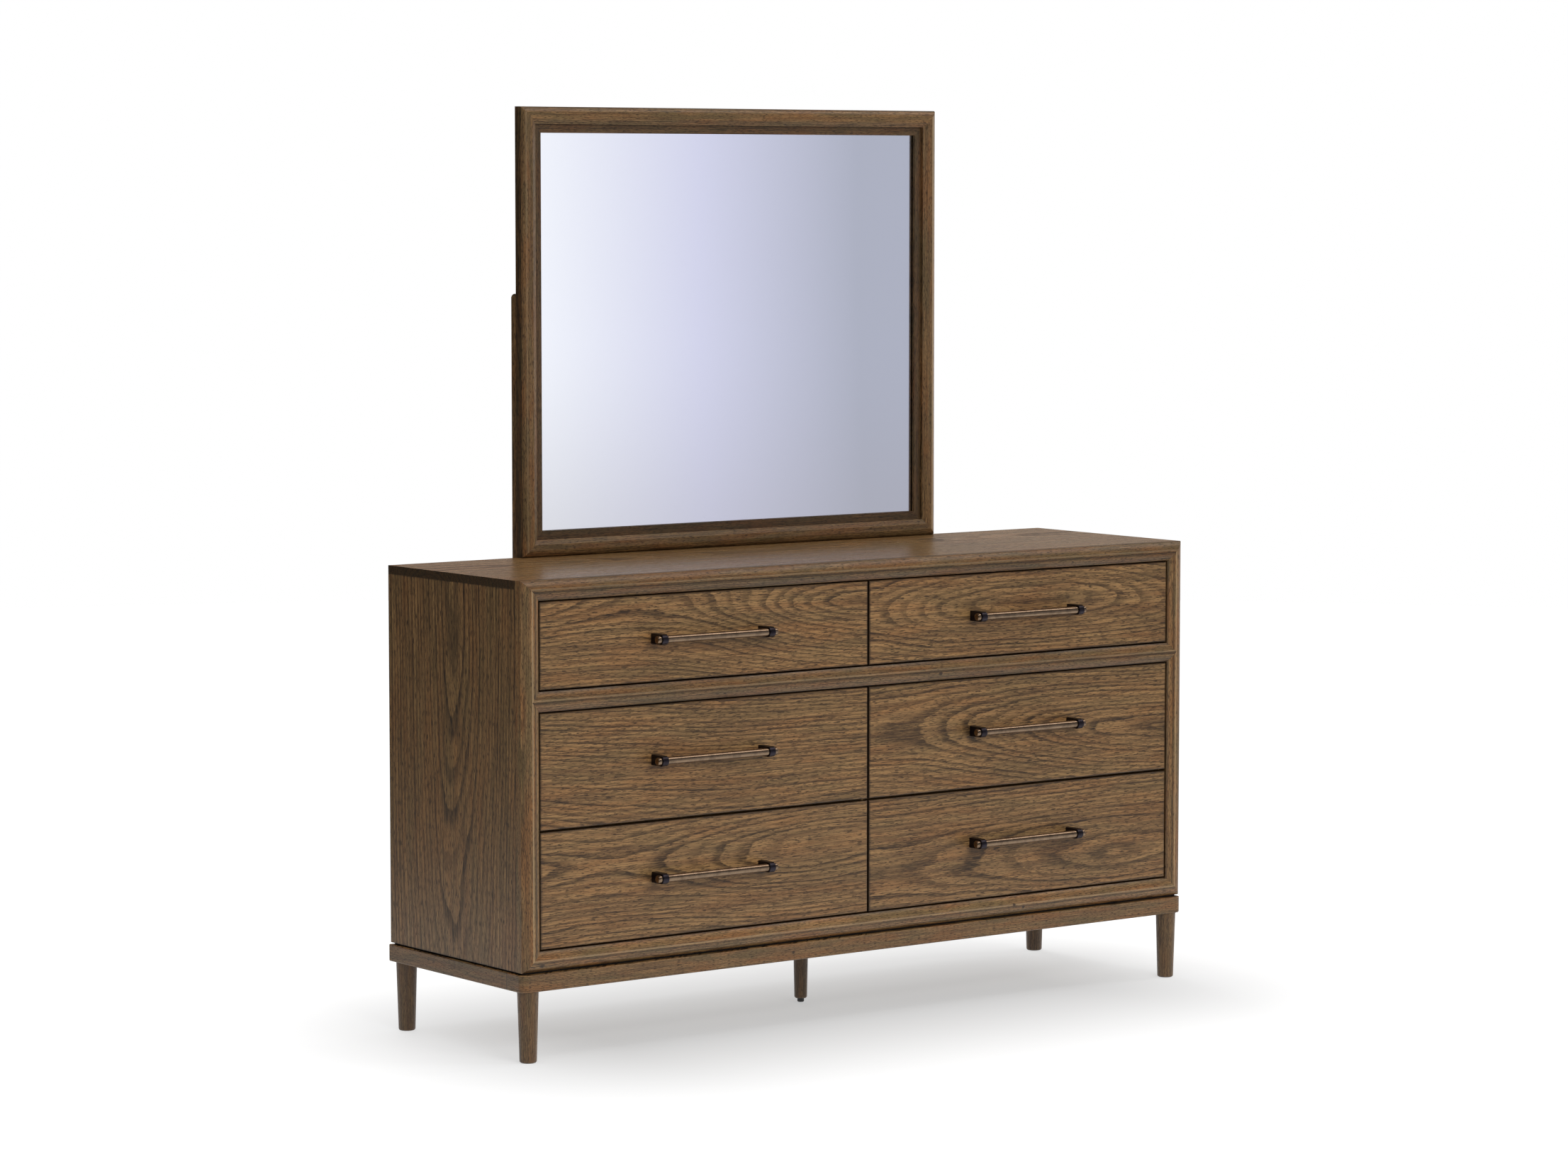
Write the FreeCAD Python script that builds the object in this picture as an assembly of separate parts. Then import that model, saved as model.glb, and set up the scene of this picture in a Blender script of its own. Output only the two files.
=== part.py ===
import FreeCAD, Part
import os

# Dresser with mirror: a low six-drawer oak case on a short base with five turned legs, and a
# framed mirror that stands on the back of the case top, held by two uprights behind it.
#
# Frame: millimetres, +Z up, the front faces -Y and +X is the right-hand side seen from the
# front. The origin is on the floor, in the middle of the whole object's width and depth.
# "Depth" below is measured forward from the back plane of the case.

# ---------------------------------------------------------------- driving dimensions
# case
case_width = 1600.0
panel_depth = 432.0            # back plane to the back of the face frame
side_thickness = 18.0
top_thickness = 15.5
bottom_thickness = 15.0
back_thickness = 6.0
back_rabbet = 9.0              # how far the back panel laps over sides and top
partition_thickness = 18.0
dust_board_thickness = 12.0
divider_thickness = 18.0
divider_depth = 60.0
batten_height = 60.0

# crowned face frame
frame_width = 37.5             # seen width of each stile and rail
frame_outer_thickness = 17.0   # at its outer edge
frame_crest_thickness = 28.5   # at the crown
frame_inner_thickness = 20.5   # at the drawer opening
frame_crest_place = 19.0       # outer edge to crown
frame_edge_round = 2.0

# drawer rows, from the top
top_row_height = 167.0
deep_row_height = 220.5
drawer_gap = 2.5               # black line around each drawer front
meeting_gap = 4.0              # between two fronts that meet
front_thickness = 20.0
front_edge_round = 2.5
front_clearance = 0.3          # front's back face to the case behind it

# drawer boxes
box_board = 12.0
box_back_gap = 26.0            # back panel to the back of the box
box_floor_thickness = 4.0
box_floor_rise = 10.0          # underside of the box sides to the floor panel
groove_depth = 5.0
groove_clearance = 0.2
box_drop = 25.0                # opening's top edge to the box's top edge
box_lift = 18.0                # opening's bottom edge to the box's bottom edge

# telescopic runners
runner_space = 12.7
runner_height = 45.0
runner_back_gap = 27.0         # back panel to the runner's end
runner_sheet = 1.3
runner_clearance = 0.3
runner_setback = 4.0           # behind the face frame

# pulls
pull_length = 277.0
pull_spacing = 247.0           # post to post
bar_radius = 7.2
bar_end_round = 2.5
bar_axis_reach = 29.5          # drawer face to the bar's axis
post_radius = 10.0
post_width = 13.5
post_round = 1.5
bar_fit = 0.1                  # radial gap of the bar in its posts
deep_pull_rise = 5.0           # pulls of the deep drawers sit above the middle
pull_screw_radius = 2.0
pull_screw_head_radius = 4.5
pull_screw_head_height = 2.5
pull_screw_bite = 12.0         # into the post
screw_clearance = 0.15

# base and legs
leg_height = 132.5
base_height = 32.5
base_gap = 3.5                 # shadow line between base and case
shadow_line_depth = 5.0        # case sides and frame to the lip behind that line
base_side_proud = 3.8
base_front_proud = 8.4         # past the face frame's outer edge
base_rail_thickness = 16.0
base_corner_round = 15.0
base_return_length = 52.7      # the front rail's return along each side
base_top_round = 1.5
base_bottom_round = 2.5
corner_block_size = 62.0
stretcher_width = 70.0
stretcher_inset = 268.0        # side rail to the middle of the stretcher beside it
leg_top_radius = 20.0
leg_foot_radius = 16.0
leg_foot_round = 4.0
centre_leg_top_radius = 15.0
centre_leg_foot_radius = 12.5
centre_leg_inset = 221.4       # base's front face to the centre leg's axis
glide_radius = 6.75
glide_height = 7.5
glide_floor_gap = 2.5
glide_chamfer = 1.2
glide_stem_radius = 4.0
glide_stem_length = 40.0
glide_stem_fit = 0.3
bolt_radius = 4.0
bolt_in_leg = 40.0
bolt_in_block = 22.0
bolt_fit = 0.1
bolt_side_wall = 5.3           # wood between a corner bolt's hole and the side rail
bolt_front_wall = 0.9          # the same to the front or back rail

# mirror
mirror_width = 1016.0
mirror_height = 866.5
mirror_frame_width = 50.0
mirror_side_thickness = 11.5   # flat of the outer edge
mirror_front_thickness = 25.5
mirror_round = 14.0            # the outer round-over
mirror_crown_end = 24.3
mirror_crown_drop = 0.5
mirror_slope_end = 33.5
mirror_step = 6.0              # end of the slope down to the lip
mirror_lip = 6.3               # lip in front of the glass
mirror_rabbet_width = 10.0
glass_thickness = 4.0
glass_fit = 0.3
backing_thickness = 3.0
backing_setback = 0.5          # backing to the frame's back face

# mirror supports
support_width = 70.0
support_thickness = 18.0
support_inset = 1.5            # mirror's side to the support's edge
support_top_drop = 358.5       # mirror's top to the support's top
support_tail = 105.75          # dust board's middle to the support's lower end
support_corner_round = 8.0
support_screw_radius = 2.4
support_screw_head_radius = 4.8
support_screw_head_height = 2.0
support_screw_place = 23.0     # mirror's side to the screws in its frame
mirror_screw_bite = 12.0
case_screw_bite = 25.0
mirror_screw_rise = 71.0       # mirror's bottom to its lowest screw
mirror_screw_drop = 37.0       # support's top to the highest screw

# ---------------------------------------------------------------- places that follow
half_width = case_width / 2
rows_height = top_row_height + 2 * deep_row_height
case_height = rows_height + 3 * frame_width
base_top = leg_height + base_height
case_floor = base_top + base_gap
case_top = case_floor + case_height
top_underside = case_top - top_thickness

opening_half = half_width - frame_width
opening_top = case_top - frame_width
middle_rail_top = opening_top - top_row_height
deep_top = middle_rail_top - frame_width
deep_split = deep_top - deep_row_height
opening_bottom = deep_split - deep_row_height

front_back_depth = panel_depth + front_clearance
face_depth = front_back_depth + front_thickness
bar_depth = face_depth + bar_axis_reach
side_inner = half_width - side_thickness
partition_half = partition_thickness / 2
bay_width = opening_half - partition_half
box_width = bay_width - 2 * runner_space
box_length = front_back_depth - back_thickness - box_back_gap
runner_length = panel_depth - runner_setback - back_thickness - runner_back_gap
bottom_top = base_top + bottom_thickness

reach_front = bar_depth + post_radius
reach_back = support_thickness + support_screw_head_height
case_back_y = (reach_front - reach_back) / 2

base_front_depth = panel_depth + frame_outer_thickness + base_front_proud
base_half = half_width + base_side_proud
base_inner_half = base_half - base_rail_thickness
base_inner_front = base_front_depth - base_rail_thickness
bolt_hole_radius = bolt_radius + bolt_fit
stretcher_x = base_inner_half - stretcher_inset
leg_x = base_inner_half - bolt_side_wall - bolt_hole_radius
leg_rear_depth = base_rail_thickness + bolt_front_wall + bolt_hole_radius
leg_front_depth = base_front_depth - leg_rear_depth
centre_leg_depth = base_front_depth - centre_leg_inset
centre_leg_bottom = glide_floor_gap + glide_height

mirror_half = mirror_width / 2
mirror_bottom = case_top
mirror_top = mirror_bottom + mirror_height
mirror_rabbet_depth = glass_thickness + backing_thickness + backing_setback
mirror_lip_thickness = mirror_rabbet_depth + mirror_lip
mirror_slope_thickness = mirror_lip_thickness + mirror_step
dust_board_middle = (middle_rail_top + deep_top) / 2
support_outer = mirror_half - support_inset
support_top = mirror_top - support_top_drop
support_bottom = dust_board_middle - support_tail
support_screw_x = mirror_half - support_screw_place

SIDES = (("left", -1), ("right", 1))
ROWS = (
    ("top", middle_rail_top, opening_top, 0.0),
    ("middle", deep_split, deep_top, deep_pull_rise),
    ("bottom", opening_bottom, deep_split, deep_pull_rise),
)


# ---------------------------------------------------------------- helpers
def point(x, depth, z):
    """A point from its side place, its depth forward of the case back, and its height."""
    return FreeCAD.Vector(x, case_back_y - depth, z)


def board(x0, x1, depth0, depth1, z0, z1):
    """A rectangular board between two opposite corners."""
    low_x, low_z = min(x0, x1), min(z0, z1)
    corner = point(low_x, max(depth0, depth1), low_z)
    return Part.makeBox(abs(x1 - x0), abs(depth1 - depth0), abs(z1 - z0), corner)


def face_of(points):
    return Part.Face(Part.makePolygon(list(points) + [points[0]]))


def plan_prism(outline, z0, z1):
    """An (x, depth) outline raised from z0 to z1."""
    face = face_of([point(x, depth, z0) for x, depth in outline])
    return face.extrude(FreeCAD.Vector(0, 0, z1 - z0))


def front_prism(outline, depth0, depth1):
    """An (x, z) outline taken from depth0 forward to depth1."""
    face = face_of([point(x, depth0, z) for x, z in outline])
    return face.extrude(FreeCAD.Vector(0, depth0 - depth1, 0))


def pin_forward(x, z, radius, depth0, depth1):
    """A round pin or hole that runs front to back."""
    forward = FreeCAD.Vector(0, -1, 0)
    return Part.makeCylinder(radius, depth1 - depth0, point(x, depth0, z), forward)


def pin_up(x, depth, radius, z0, z1):
    """A round pin or hole that stands upright."""
    return Part.makeCylinder(radius, z1 - z0, point(x, depth, z0), FreeCAD.Vector(0, 0, 1))


def edges_where(shape, test):
    return [edge for edge in shape.Edges if test(edge.BoundBox)]


def near(value, target):
    return abs(value - target) < 0.01


def flat_at(low, high, target):
    """True where a box side is flat and lies at the target."""
    return near(low, target) and near(high, target)


def write(name, solids):
    if not isinstance(solids, list):
        solids = [solids]
    shape = solids[0] if len(solids) == 1 else Part.makeCompound(solids)
    shape.exportStep("parts/" + name + ".step")


# ---------------------------------------------------------------- face frame
def crown_face(place):
    """The crowned section of stiles and outer rails; place maps (width, depth) to a point."""
    outer_front = panel_depth + frame_outer_thickness
    crest = place(frame_crest_place, panel_depth + frame_crest_thickness)
    outer_back = place(0, panel_depth)
    outer = place(0, outer_front)
    inner = place(frame_width, panel_depth + frame_inner_thickness)
    inner_back = place(frame_width, panel_depth)
    edges = [
        Part.makeLine(outer_back, outer),
        Part.Arc(outer, crest, inner).toShape(),
        Part.makeLine(inner, inner_back),
        Part.makeLine(inner_back, outer_back),
    ]
    return Part.Face(Part.Wire(edges))


def soften_outer_edge(bar, is_outer):
    edges = edges_where(bar, is_outer)
    return bar.makeFillet(frame_edge_round, edges)


def stile(side):
    outer_x = side * half_width

    def place(width, depth):
        return point(outer_x - side * width, depth, case_floor)

    bar = crown_face(place).extrude(FreeCAD.Vector(0, 0, case_height))
    edge_y = case_back_y - panel_depth - frame_outer_thickness
    bar = soften_outer_edge(
        bar,
        lambda box: box.ZLength > frame_width
        and flat_at(box.XMin, box.XMax, outer_x)
        and flat_at(box.YMin, box.YMax, edge_y),
    )
    inner_x = side * opening_half
    tip_x = side * (opening_half + frame_width / 2)
    outline = [
        (outer_x, case_top),
        (inner_x, opening_top),
        (inner_x, middle_rail_top),
        (tip_x, middle_rail_top - frame_width / 2),
        (inner_x, deep_top),
        (inner_x, opening_bottom),
        (outer_x, case_floor),
    ]
    return bar.common(front_prism(outline, panel_depth, reach_front))


def outer_rail(edge_z, inner_z):
    """The top or bottom rail, mitred to the stiles over its whole width."""
    inward = 1 if inner_z > edge_z else -1

    def place(width, depth):
        return point(-half_width, depth, edge_z + inward * width)

    bar = crown_face(place).extrude(FreeCAD.Vector(case_width, 0, 0))
    edge_y = case_back_y - panel_depth - frame_outer_thickness
    bar = soften_outer_edge(
        bar,
        lambda box: box.XLength > frame_width
        and flat_at(box.ZMin, box.ZMax, edge_z)
        and flat_at(box.YMin, box.YMax, edge_y),
    )
    outline = [
        (-half_width, edge_z),
        (half_width, edge_z),
        (opening_half, inner_z),
        (-opening_half, inner_z),
    ]
    return bar.common(front_prism(outline, panel_depth, reach_front))


def middle_rail():
    """The rail under the top drawers; its pointed ends are let into the stiles."""
    tip = opening_half + frame_width / 2
    low, high = deep_top, middle_rail_top
    middle = (low + high) / 2
    inner = panel_depth + frame_inner_thickness
    edges = [
        Part.makeLine(point(-tip, panel_depth, low), point(-tip, inner, low)),
        Part.Arc(
            point(-tip, inner, low),
            point(-tip, panel_depth + frame_crest_thickness, middle),
            point(-tip, inner, high),
        ).toShape(),
        Part.makeLine(point(-tip, inner, high), point(-tip, panel_depth, high)),
        Part.makeLine(point(-tip, panel_depth, high), point(-tip, panel_depth, low)),
    ]
    bar = Part.Face(Part.Wire(edges)).extrude(FreeCAD.Vector(2 * tip, 0, 0))
    outline = [
        (-tip, middle),
        (-opening_half, high),
        (opening_half, high),
        (tip, middle),
        (opening_half, low),
        (-opening_half, low),
    ]
    return bar.common(front_prism(outline, panel_depth, reach_front))


# ---------------------------------------------------------------- case
def rabbet_cut():
    """The space that the back panel takes out of the sides and the top."""
    reach = side_inner + back_rabbet
    return board(-reach, reach, 0, back_thickness, case_floor, top_underside)


def top_panel():
    panel = board(-half_width, half_width, 0, panel_depth, top_underside, case_top)
    return panel.cut(case_screw_holes())


def side_panel(side):
    panel = board(
        side * side_inner, side * half_width, 0, panel_depth, case_floor, top_underside
    )
    return panel.cut(rabbet_cut())


def back_panel():
    reach = side_inner + back_rabbet
    panel = board(-reach, reach, 0, back_thickness, case_floor, top_underside)
    return panel.cut(case_screw_holes())


def case_bottom():
    """It stands lower than the sides and has a lip that runs under them and the face frame.

    The lip is as thick as the shadow line, rests on the base's rails and closes the line behind.
    """
    panel = board(-side_inner, side_inner, back_thickness, panel_depth, base_top, bottom_top)
    lip_side = half_width - shadow_line_depth
    lip_front = panel_depth + frame_outer_thickness - shadow_line_depth
    lip = board(-lip_side, lip_side, back_thickness, lip_front, base_top, case_floor)
    return panel.fuse(lip).removeSplitter()


def centre_partition():
    return board(
        -partition_half, partition_half, back_thickness, panel_depth, bottom_top, top_underside
    )


def drawer_dividers():
    """A dust board under each top drawer, and a rail between each two deep drawers."""
    solids = []
    dust_low = dust_board_middle - dust_board_thickness / 2
    for _, side in SIDES:
        inner, outer = side * partition_half, side * side_inner
        dust = board(
            inner, outer, back_thickness, panel_depth, dust_low, dust_low + dust_board_thickness
        )
        rail_low = deep_split - divider_thickness / 2
        rail = board(
            inner,
            outer,
            panel_depth - divider_depth,
            panel_depth,
            rail_low,
            rail_low + divider_thickness,
        )
        solids += [dust.cut(case_screw_holes()), rail]
    return solids


def runner_axis(low, high):
    """The height of a drawer's runners, in the middle of its box."""
    return (low + box_lift + high - box_drop) / 2


def runner_battens():
    solids = []
    for _, side in SIDES:
        for _, low, high, _ in ROWS:
            axis = runner_axis(low, high)
            solids.append(
                board(
                    side * opening_half,
                    side * side_inner,
                    back_thickness,
                    panel_depth,
                    axis - batten_height / 2,
                    axis + batten_height / 2,
                )
            )
    return solids


# ---------------------------------------------------------------- runners
def channel(web_x, opens, height, axis):
    """A C-shaped steel runner; its web stands at web_x and its flanges point along opens."""
    flange_tip = runner_space - runner_sheet - runner_clearance
    front = panel_depth - runner_setback
    outside = board(
        web_x,
        web_x + opens * flange_tip,
        front - runner_length,
        front,
        axis - height / 2,
        axis + height / 2,
    )
    hollow = board(
        web_x + opens * runner_sheet,
        web_x + opens * (flange_tip + runner_sheet),
        front - runner_length,
        front,
        axis - height / 2 + runner_sheet,
        axis + height / 2 - runner_sheet,
    )
    return outside.cut(hollow)


def case_runners():
    solids = []
    for _, side in SIDES:
        for _, low, high, _ in ROWS:
            axis = runner_axis(low, high)
            solids.append(channel(side * opening_half, -side, runner_height, axis))
            solids.append(channel(side * partition_half, side, runner_height, axis))
    return solids


def drawer_runners(side, low, high):
    axis = runner_axis(low, high)
    height = runner_height - 2 * (runner_sheet + runner_clearance)
    outer_web = side * (opening_half - runner_space)
    inner_web = side * (partition_half + runner_space)
    return [channel(outer_web, side, height, axis), channel(inner_web, -side, height, axis)]


# ---------------------------------------------------------------- drawers
def front_limits(row, low, high):
    """Lowest and highest edge of a drawer front in its row."""
    bottom = low + (meeting_gap / 2 if row == "middle" else drawer_gap)
    top = high - (meeting_gap / 2 if row == "bottom" else drawer_gap)
    return bottom, top


def front_centre_x(side):
    return side * (meeting_gap / 2 + opening_half - drawer_gap) / 2


def pull_height(row, low, high, rise):
    bottom, top = front_limits(row, low, high)
    return (bottom + top) / 2 + rise


def pull_screw_holes(side, height):
    holes = []
    for end in (-1, 1):
        x = front_centre_x(side) + end * pull_spacing / 2
        radius = pull_screw_radius + screw_clearance
        holes.append(pin_forward(x, height, radius, 0, face_depth + pull_screw_bite))
    return holes


def drawer_front(side, row, low, high, rise):
    bottom, top = front_limits(row, low, high)
    panel = board(
        side * meeting_gap / 2,
        side * (opening_half - drawer_gap),
        front_back_depth,
        face_depth,
        bottom,
        top,
    )
    face_y = case_back_y - face_depth
    rim = edges_where(panel, lambda box: flat_at(box.YMin, box.YMax, face_y))
    panel = panel.makeFillet(front_edge_round, rim)
    return panel.cut(pull_screw_holes(side, pull_height(row, low, high, rise)))


def drawer_box(side, row, low, high, rise):
    """Two sides, a back, an inner front and a floor panel that sits in grooves."""
    inner = side * (partition_half + runner_space)
    outer = inner + side * box_width
    back = front_back_depth - box_length
    bottom, top = low + box_lift, high - box_drop
    floor_low = bottom + box_floor_rise
    floor_high = floor_low + box_floor_thickness
    groove = board(
        inner + side * (box_board - groove_depth - groove_clearance),
        outer - side * (box_board - groove_depth - groove_clearance),
        back + box_board - groove_depth - groove_clearance,
        front_back_depth - box_board + groove_depth + groove_clearance,
        floor_low,
        floor_high,
    )
    floor = board(
        inner + side * (box_board - groove_depth),
        outer - side * (box_board - groove_depth),
        back + box_board - groove_depth,
        front_back_depth - box_board + groove_depth,
        floor_low,
        floor_high,
    )
    walls = [
        board(inner, inner + side * box_board, back, front_back_depth, bottom, top),
        board(outer, outer - side * box_board, back, front_back_depth, bottom, top),
    ]
    between = (inner + side * box_board, outer - side * box_board)
    for start in (back, front_back_depth - box_board):
        walls.append(board(*between, start, start + box_board, bottom, top))
    cuts = [groove] + pull_screw_holes(side, pull_height(row, low, high, rise))
    return [wall.cut(cuts) for wall in walls] + [floor]


def pull_bar(side, height):
    x = front_centre_x(side) - pull_length / 2
    bar = Part.makeCylinder(
        bar_radius, pull_length, point(x, bar_depth, height), FreeCAD.Vector(1, 0, 0)
    )
    rims = edges_where(bar, lambda box: near(box.XLength, 0))
    return bar.makeFillet(bar_end_round, rims)


def pull_post(x, height):
    """A block with a half-round nose that the bar passes through, and a screw from behind."""
    half = post_width / 2
    block = board(
        x - half, x + half, face_depth, bar_depth, height - post_radius, height + post_radius
    )
    nose = Part.makeCylinder(
        post_radius, post_width, point(x - half, bar_depth, height), FreeCAD.Vector(1, 0, 0)
    )
    block = block.fuse(nose).removeSplitter()
    base_y = case_back_y - face_depth
    flanks = edges_where(
        block,
        lambda box: near(box.XLength, 0) and not flat_at(box.YMin, box.YMax, base_y),
    )
    block = block.makeFillet(post_round, flanks)
    bore = Part.makeCylinder(
        bar_radius + bar_fit,
        2 * post_width,
        point(x - post_width, bar_depth, height),
        FreeCAD.Vector(1, 0, 0),
    )
    screw_hole = pin_forward(
        x, height, pull_screw_radius + screw_clearance, face_depth, face_depth + pull_screw_bite
    )
    return block.cut([bore, screw_hole])


def pull_screw(x, height):
    inner_face = front_back_depth - box_board
    shank = pin_forward(
        x, height, pull_screw_radius, inner_face, face_depth + pull_screw_bite - screw_clearance
    )
    head = pin_forward(
        x, height, pull_screw_head_radius, inner_face - pull_screw_head_height, inner_face
    )
    return head.fuse(shank)


def pull_posts(side, height):
    solids = []
    for end in (-1, 1):
        x = front_centre_x(side) + end * pull_spacing / 2
        solids += [pull_post(x, height), pull_screw(x, height)]
    return solids


# ---------------------------------------------------------------- base and legs
def base_skirt():
    """The front rail with its returns as one rounded U, before it is cut at the mitres."""
    outer = Part.makeBox(
        2 * base_half,
        base_return_length,
        base_height,
        point(-base_half, base_front_depth, leg_height),
    )
    front_y = case_back_y - base_front_depth
    corners = edges_where(
        outer, lambda box: near(box.ZLength, base_height) and flat_at(box.YMin, box.YMax, front_y)
    )
    outer = outer.makeFillet(base_corner_round, corners)
    for height, radius in ((base_top, base_top_round), (leg_height, base_bottom_round)):
        back_y = front_y + base_return_length
        rim = edges_where(
            outer,
            lambda box: flat_at(box.ZMin, box.ZMax, height)
            and not flat_at(box.YMin, box.YMax, back_y),
        )
        outer = outer.makeFillet(radius, rim)
    hollow = board(
        -base_inner_half,
        base_inner_half,
        base_front_depth - base_return_length,
        base_inner_front,
        leg_height,
        base_top,
    )
    return outer.cut(hollow)


def base_front_rail():
    """The rail and its two short returns, mitred at the rounded corners."""
    skirt = base_skirt()
    back = base_front_depth - base_return_length
    front_part = [
        (-base_half, base_front_depth),
        (base_half, base_front_depth),
        (base_inner_half, base_inner_front),
        (-base_inner_half, base_inner_front),
    ]
    solids = [skirt.common(plan_prism(front_part, leg_height, base_top))]
    for _, side in SIDES:
        return_part = [
            (side * base_half, base_front_depth),
            (side * base_inner_half, base_inner_front),
            (side * base_inner_half, back),
            (side * base_half, back),
        ]
        solids.append(skirt.common(plan_prism(return_part, leg_height, base_top)))
    return solids


def base_side_and_back_rails():
    """Side rails from the back to the front rail's returns, and the back rail between them."""
    solids = [
        board(-base_inner_half, base_inner_half, 0, base_rail_thickness, leg_height, base_top)
    ]
    for _, side in SIDES:
        rail = board(
            side * base_inner_half,
            side * base_half,
            0,
            base_front_depth - base_return_length,
            leg_height,
            base_top,
        )
        for height, radius in ((base_top, base_top_round), (leg_height, base_bottom_round)):
            outer_edge = edges_where(
                rail,
                lambda box: flat_at(box.XMin, box.XMax, side * base_half)
                and flat_at(box.ZMin, box.ZMax, height),
            )
            rail = rail.makeFillet(radius, outer_edge)
        solids.append(rail)
    return solids


def base_stretchers():
    """Three boards that run front to back inside the base and carry the case."""
    solids = []
    for x in (-stretcher_x, 0, stretcher_x):
        stretcher = board(
            x - stretcher_width / 2,
            x + stretcher_width / 2,
            base_rail_thickness,
            base_inner_front,
            leg_height,
            base_top,
        )
        solids.append(stretcher.cut(bolt_hole(0, centre_leg_depth)))
    return solids


def corner_legs():
    """Side, x and depth of the four corner legs' axes."""
    return [
        (side, side * leg_x, depth) for _, side in SIDES for depth in (leg_front_depth, leg_rear_depth)
    ]


def base_corner_blocks():
    solids = []
    for side, x, depth in corner_legs():
        at_front = near(depth, leg_front_depth)
        start = base_inner_front if at_front else base_rail_thickness
        inward = -1 if at_front else 1
        block = board(
            side * base_inner_half,
            side * (base_inner_half - corner_block_size),
            start,
            start + inward * corner_block_size,
            leg_height,
            base_top,
        )
        solids.append(block.cut(bolt_hole(x, depth)))
    return solids


def bolt_hole(x, depth):
    low, high = leg_height - bolt_in_leg, leg_height + bolt_in_block
    return pin_up(x, depth, bolt_hole_radius, low - bolt_fit, high + bolt_fit)


def leg_bolts():
    """Hanger bolts that join each leg to the block or stretcher above it."""
    places = [(x, depth) for _, x, depth in corner_legs()] + [(0, centre_leg_depth)]
    low, high = leg_height - bolt_in_leg, leg_height + bolt_in_block
    return [pin_up(x, depth, bolt_radius, low, high) for x, depth in places]


def turned_leg(x, depth, top_radius, foot_radius, foot_height):
    """A round leg that tapers to a foot with a rounded rim."""
    leg = Part.makeCone(
        foot_radius, top_radius, leg_height - foot_height, point(x, depth, foot_height)
    )
    rim = edges_where(leg, lambda box: flat_at(box.ZMin, box.ZMax, foot_height))
    return leg.makeFillet(leg_foot_round, rim).cut(bolt_hole(x, depth))


def corner_leg_pair(depth):
    return [
        turned_leg(side * leg_x, depth, leg_top_radius, leg_foot_radius, 0) for _, side in SIDES
    ]


def centre_leg():
    leg = turned_leg(
        0, centre_leg_depth, centre_leg_top_radius, centre_leg_foot_radius, centre_leg_bottom
    )
    bore = pin_up(
        0,
        centre_leg_depth,
        glide_stem_radius + glide_stem_fit,
        centre_leg_bottom,
        centre_leg_bottom + glide_stem_length,
    )
    return leg.cut(bore)


def centre_glide():
    """The levelling glide: a foot under the centre leg, on a stem that screws into it."""
    foot = pin_up(0, centre_leg_depth, glide_radius, glide_floor_gap, centre_leg_bottom)
    rim = edges_where(foot, lambda box: flat_at(box.ZMin, box.ZMax, glide_floor_gap))
    foot = foot.makeChamfer(glide_chamfer, rim)
    stem_top = centre_leg_bottom + glide_stem_length - glide_stem_fit
    stem = pin_up(0, centre_leg_depth, glide_stem_radius, centre_leg_bottom, stem_top)
    return foot.fuse(stem)


# ---------------------------------------------------------------- mirror
def mirror_section(place):
    """Round-over, crown, slope, step and lip; place maps (width, thickness) to a point."""
    arc_share = 0.5 ** 0.5
    round_rise = mirror_front_thickness - mirror_side_thickness
    outline = [
        (mirror_round, mirror_front_thickness),
        (mirror_crown_end, mirror_front_thickness - mirror_crown_drop),
        (mirror_slope_end, mirror_slope_thickness),
        (mirror_slope_end, mirror_lip_thickness),
        (mirror_frame_width, mirror_lip_thickness),
        (mirror_frame_width, mirror_rabbet_depth),
        (mirror_frame_width - mirror_rabbet_width, mirror_rabbet_depth),
        (mirror_frame_width - mirror_rabbet_width, 0),
        (0, 0),
        (0, mirror_side_thickness),
    ]
    points = [place(width, thickness) for width, thickness in outline]
    shoulder = place(
        mirror_round * (1 - arc_share), mirror_side_thickness + round_rise * arc_share
    )
    edges = [Part.makeLine(start, end) for start, end in zip(points, points[1:])]
    edges.append(Part.Arc(points[-1], shoulder, points[0]).toShape())
    return Part.Face(Part.Wire(edges))


def mirror_upright(side):
    def place(width, thickness):
        return point(side * (mirror_half - width), thickness, mirror_bottom)

    bar = mirror_section(place).extrude(FreeCAD.Vector(0, 0, mirror_height))
    inner = mirror_half - mirror_frame_width
    outline = [
        (side * mirror_half, mirror_top),
        (side * inner, mirror_top - mirror_frame_width),
        (side * inner, mirror_bottom + mirror_frame_width),
        (side * mirror_half, mirror_bottom),
    ]
    mitred = bar.common(front_prism(outline, 0, mirror_front_thickness))
    return mitred.cut(mirror_screw_holes())


def mirror_rail(edge_z, inward):
    def place(width, thickness):
        return point(-mirror_half, thickness, edge_z + inward * width)

    bar = mirror_section(place).extrude(FreeCAD.Vector(mirror_width, 0, 0))
    inner = mirror_half - mirror_frame_width
    inner_z = edge_z + inward * mirror_frame_width
    outline = [(-mirror_half, edge_z), (mirror_half, edge_z), (inner, inner_z), (-inner, inner_z)]
    return bar.common(front_prism(outline, 0, mirror_front_thickness))


def rabbet_sheet(start, thickness):
    """A sheet that fills the mirror frame's rabbet, less its fit."""
    margin = mirror_frame_width - mirror_rabbet_width + glass_fit
    half = mirror_half - margin
    return board(
        -half, half, start, start + thickness, mirror_bottom + margin, mirror_top - margin
    )


def mirror_glass():
    return rabbet_sheet(mirror_rabbet_depth - glass_thickness, glass_thickness)


def mirror_backing():
    return rabbet_sheet(mirror_rabbet_depth - glass_thickness - backing_thickness, backing_thickness)


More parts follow.
